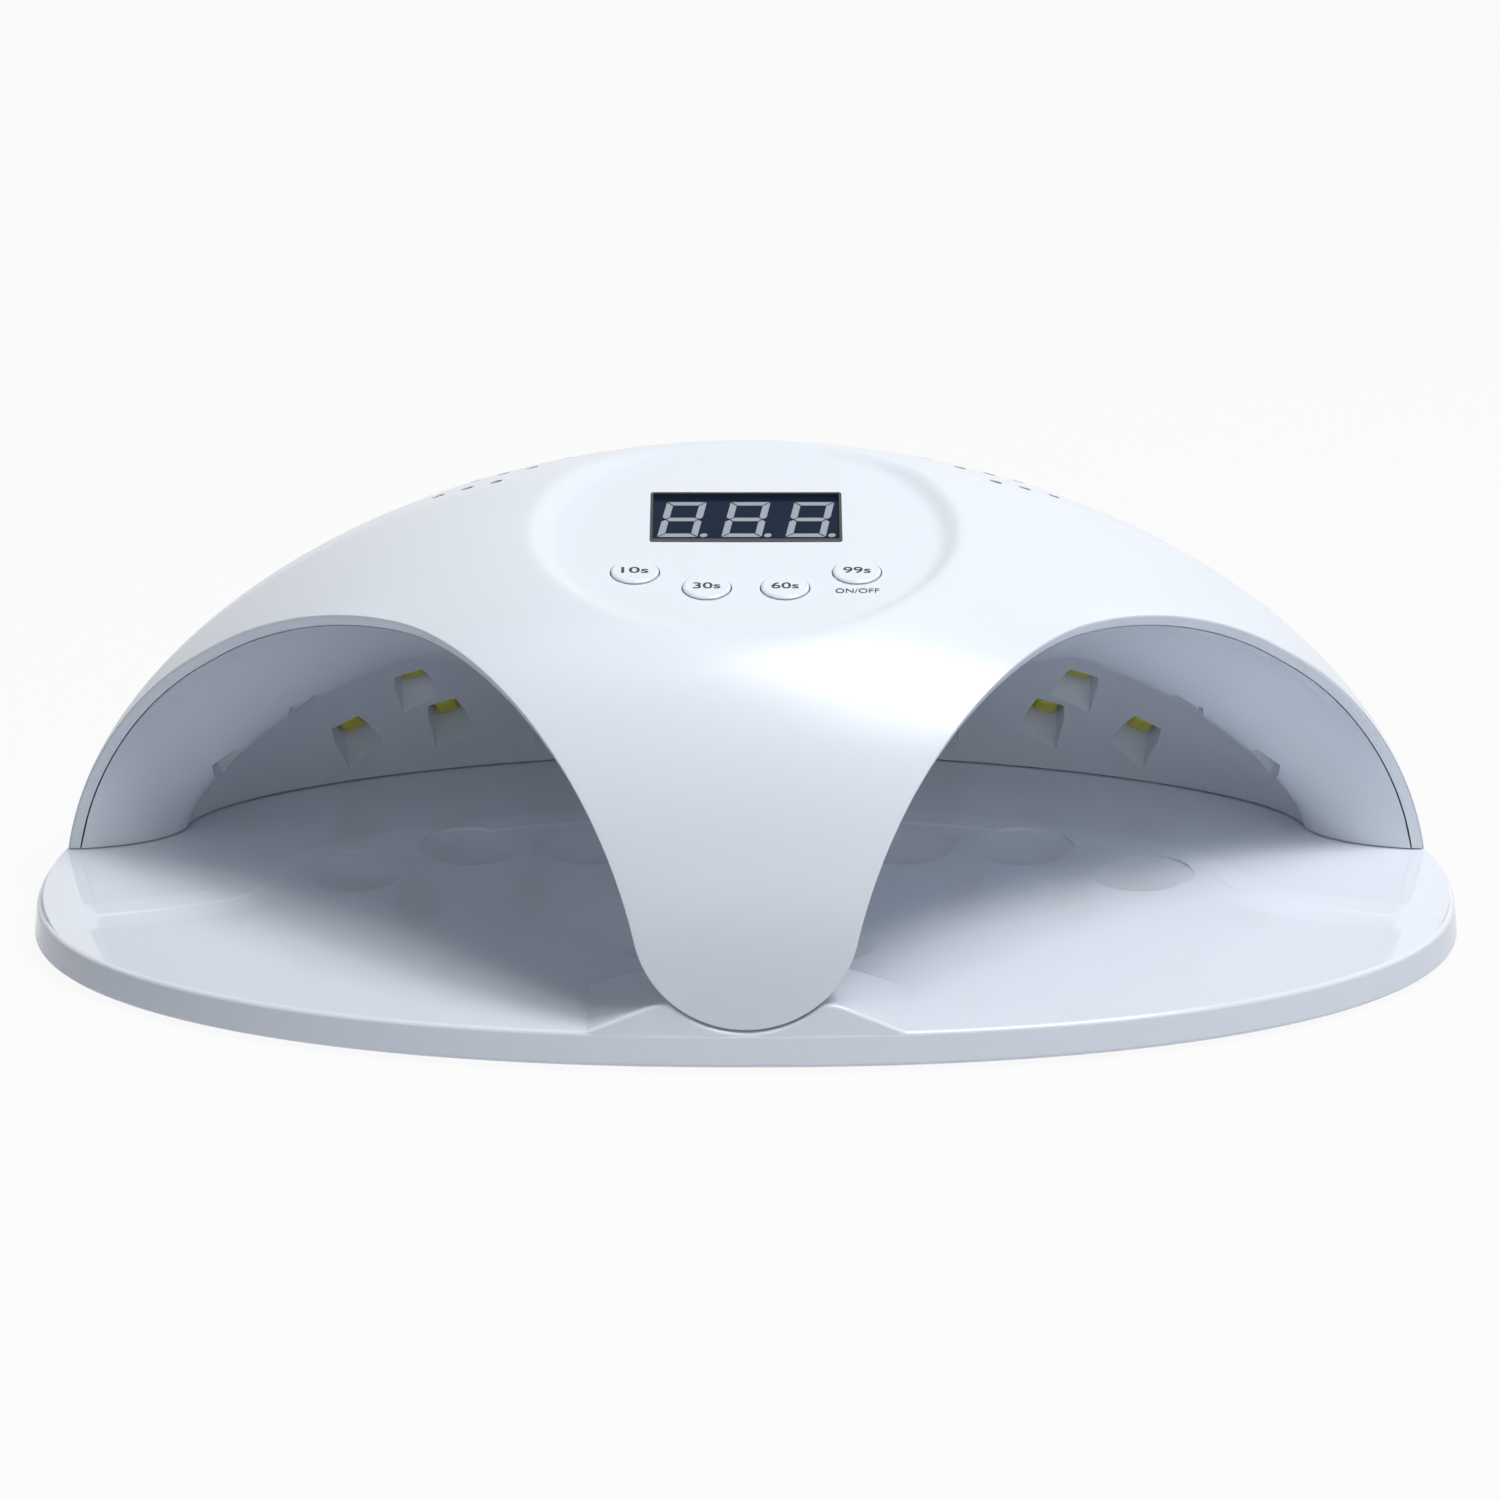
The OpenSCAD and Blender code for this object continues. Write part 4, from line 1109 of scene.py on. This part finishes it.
ground = Finish("pale_floor", Roughness=0.9, Specular_IOR_Level=0.0)
ground.set(Base_Color=ground.colours(ground.noise(3), (0.57, 0.6, 0.65), (0.61, 0.64, 0.69)))
white = ground.node("ShaderNodeEmission", {}, {"Color": (1, 1, 1), "Strength": 1.0})
whiteness = 0.93
both = ground.node("ShaderNodeMixShader", {}, {0: seen_directly(ground) * whiteness,
                                               1: Wire(ground, ground.shader.outputs[0]), 2: white})
ground.tree.links.new(both.socket, ground.output.inputs["Surface"])
floor_mesh.materials.append(ground.material)

world = bpy.data.worlds.new("studio")
scene.world = world
world.use_nodes = True
sky = Finish.__new__(Finish)
sky.tree = world.node_tree
sky.tree.nodes.clear()
soft = sky.node("ShaderNodeBackground", {}, {"Color": (0.92, 0.95, 1.0), "Strength": 0.055})
plain = sky.node("ShaderNodeBackground", {}, {"Color": (1, 1, 1), "Strength": 1.0})
seen = sky.node("ShaderNodeMixShader", {}, {0: seen_directly(sky), 1: soft, 2: plain})
sky.tree.links.new(seen.socket, sky.tree.nodes.new("ShaderNodeOutputWorld").inputs["Surface"])

# %% Lamps and camera
def lamp(name, place, aim, size, watts):
    light = bpy.data.lights.new(name, "AREA")
    light.shape, light.size, light.size_y, light.energy = "RECTANGLE", *size, watts
    obj = bpy.data.objects.new(name, light)
    obj.location = place
    obj.rotation_euler = (Vector(aim) - Vector(place)).to_track_quat("-Z", "Y").to_euler()
    scene.collection.objects.link(obj)


middle_of_lamp = (0.02, 0, 0.03)
for name, place, size, watts in (
        ("key", (0.5, -0.25, 1.15), (0.34, 0.3), 6.2),
        ("key_left", (0.2, -0.2, 1.25), (0.4, 0.3), 4.0),
        ("key_front", (0.3, -0.5, 1.15), (0.34, 0.3), 1.8),
        ("overhead", (0, 0.05, 1.25), (0.9, 0.6), 1.7),
        ("behind_right", (0.9, 0.6, 0.7), (0.6, 0.6), 1.1),
        ("behind_left", (-0.9, 0.6, 0.7), (0.6, 0.6), 0.8),
        ("front_right", (0.85, -1.0, 0.6), (0.6, 0.5), 1.5),
        ("front_left", (-0.85, -0.9, 0.7), (0.6, 0.5), 0.9),
        ("front", (0.1, -1.7, 0.35), (0.7, 0.5), 1.1)):
    lamp(name, place, middle_of_lamp, size, watts)

view = bpy.data.cameras.new("camera")
view.lens, view.sensor_width = 166.99, 36
camera = bpy.data.objects.new("camera", view)
camera.location = (0.0008, -1.3428, 0.4927)
camera.rotation_euler = (math.radians(71.2), 0, 0)
scene.collection.objects.link(camera)
scene.camera = camera
scene.view_settings.view_transform = "Standard"
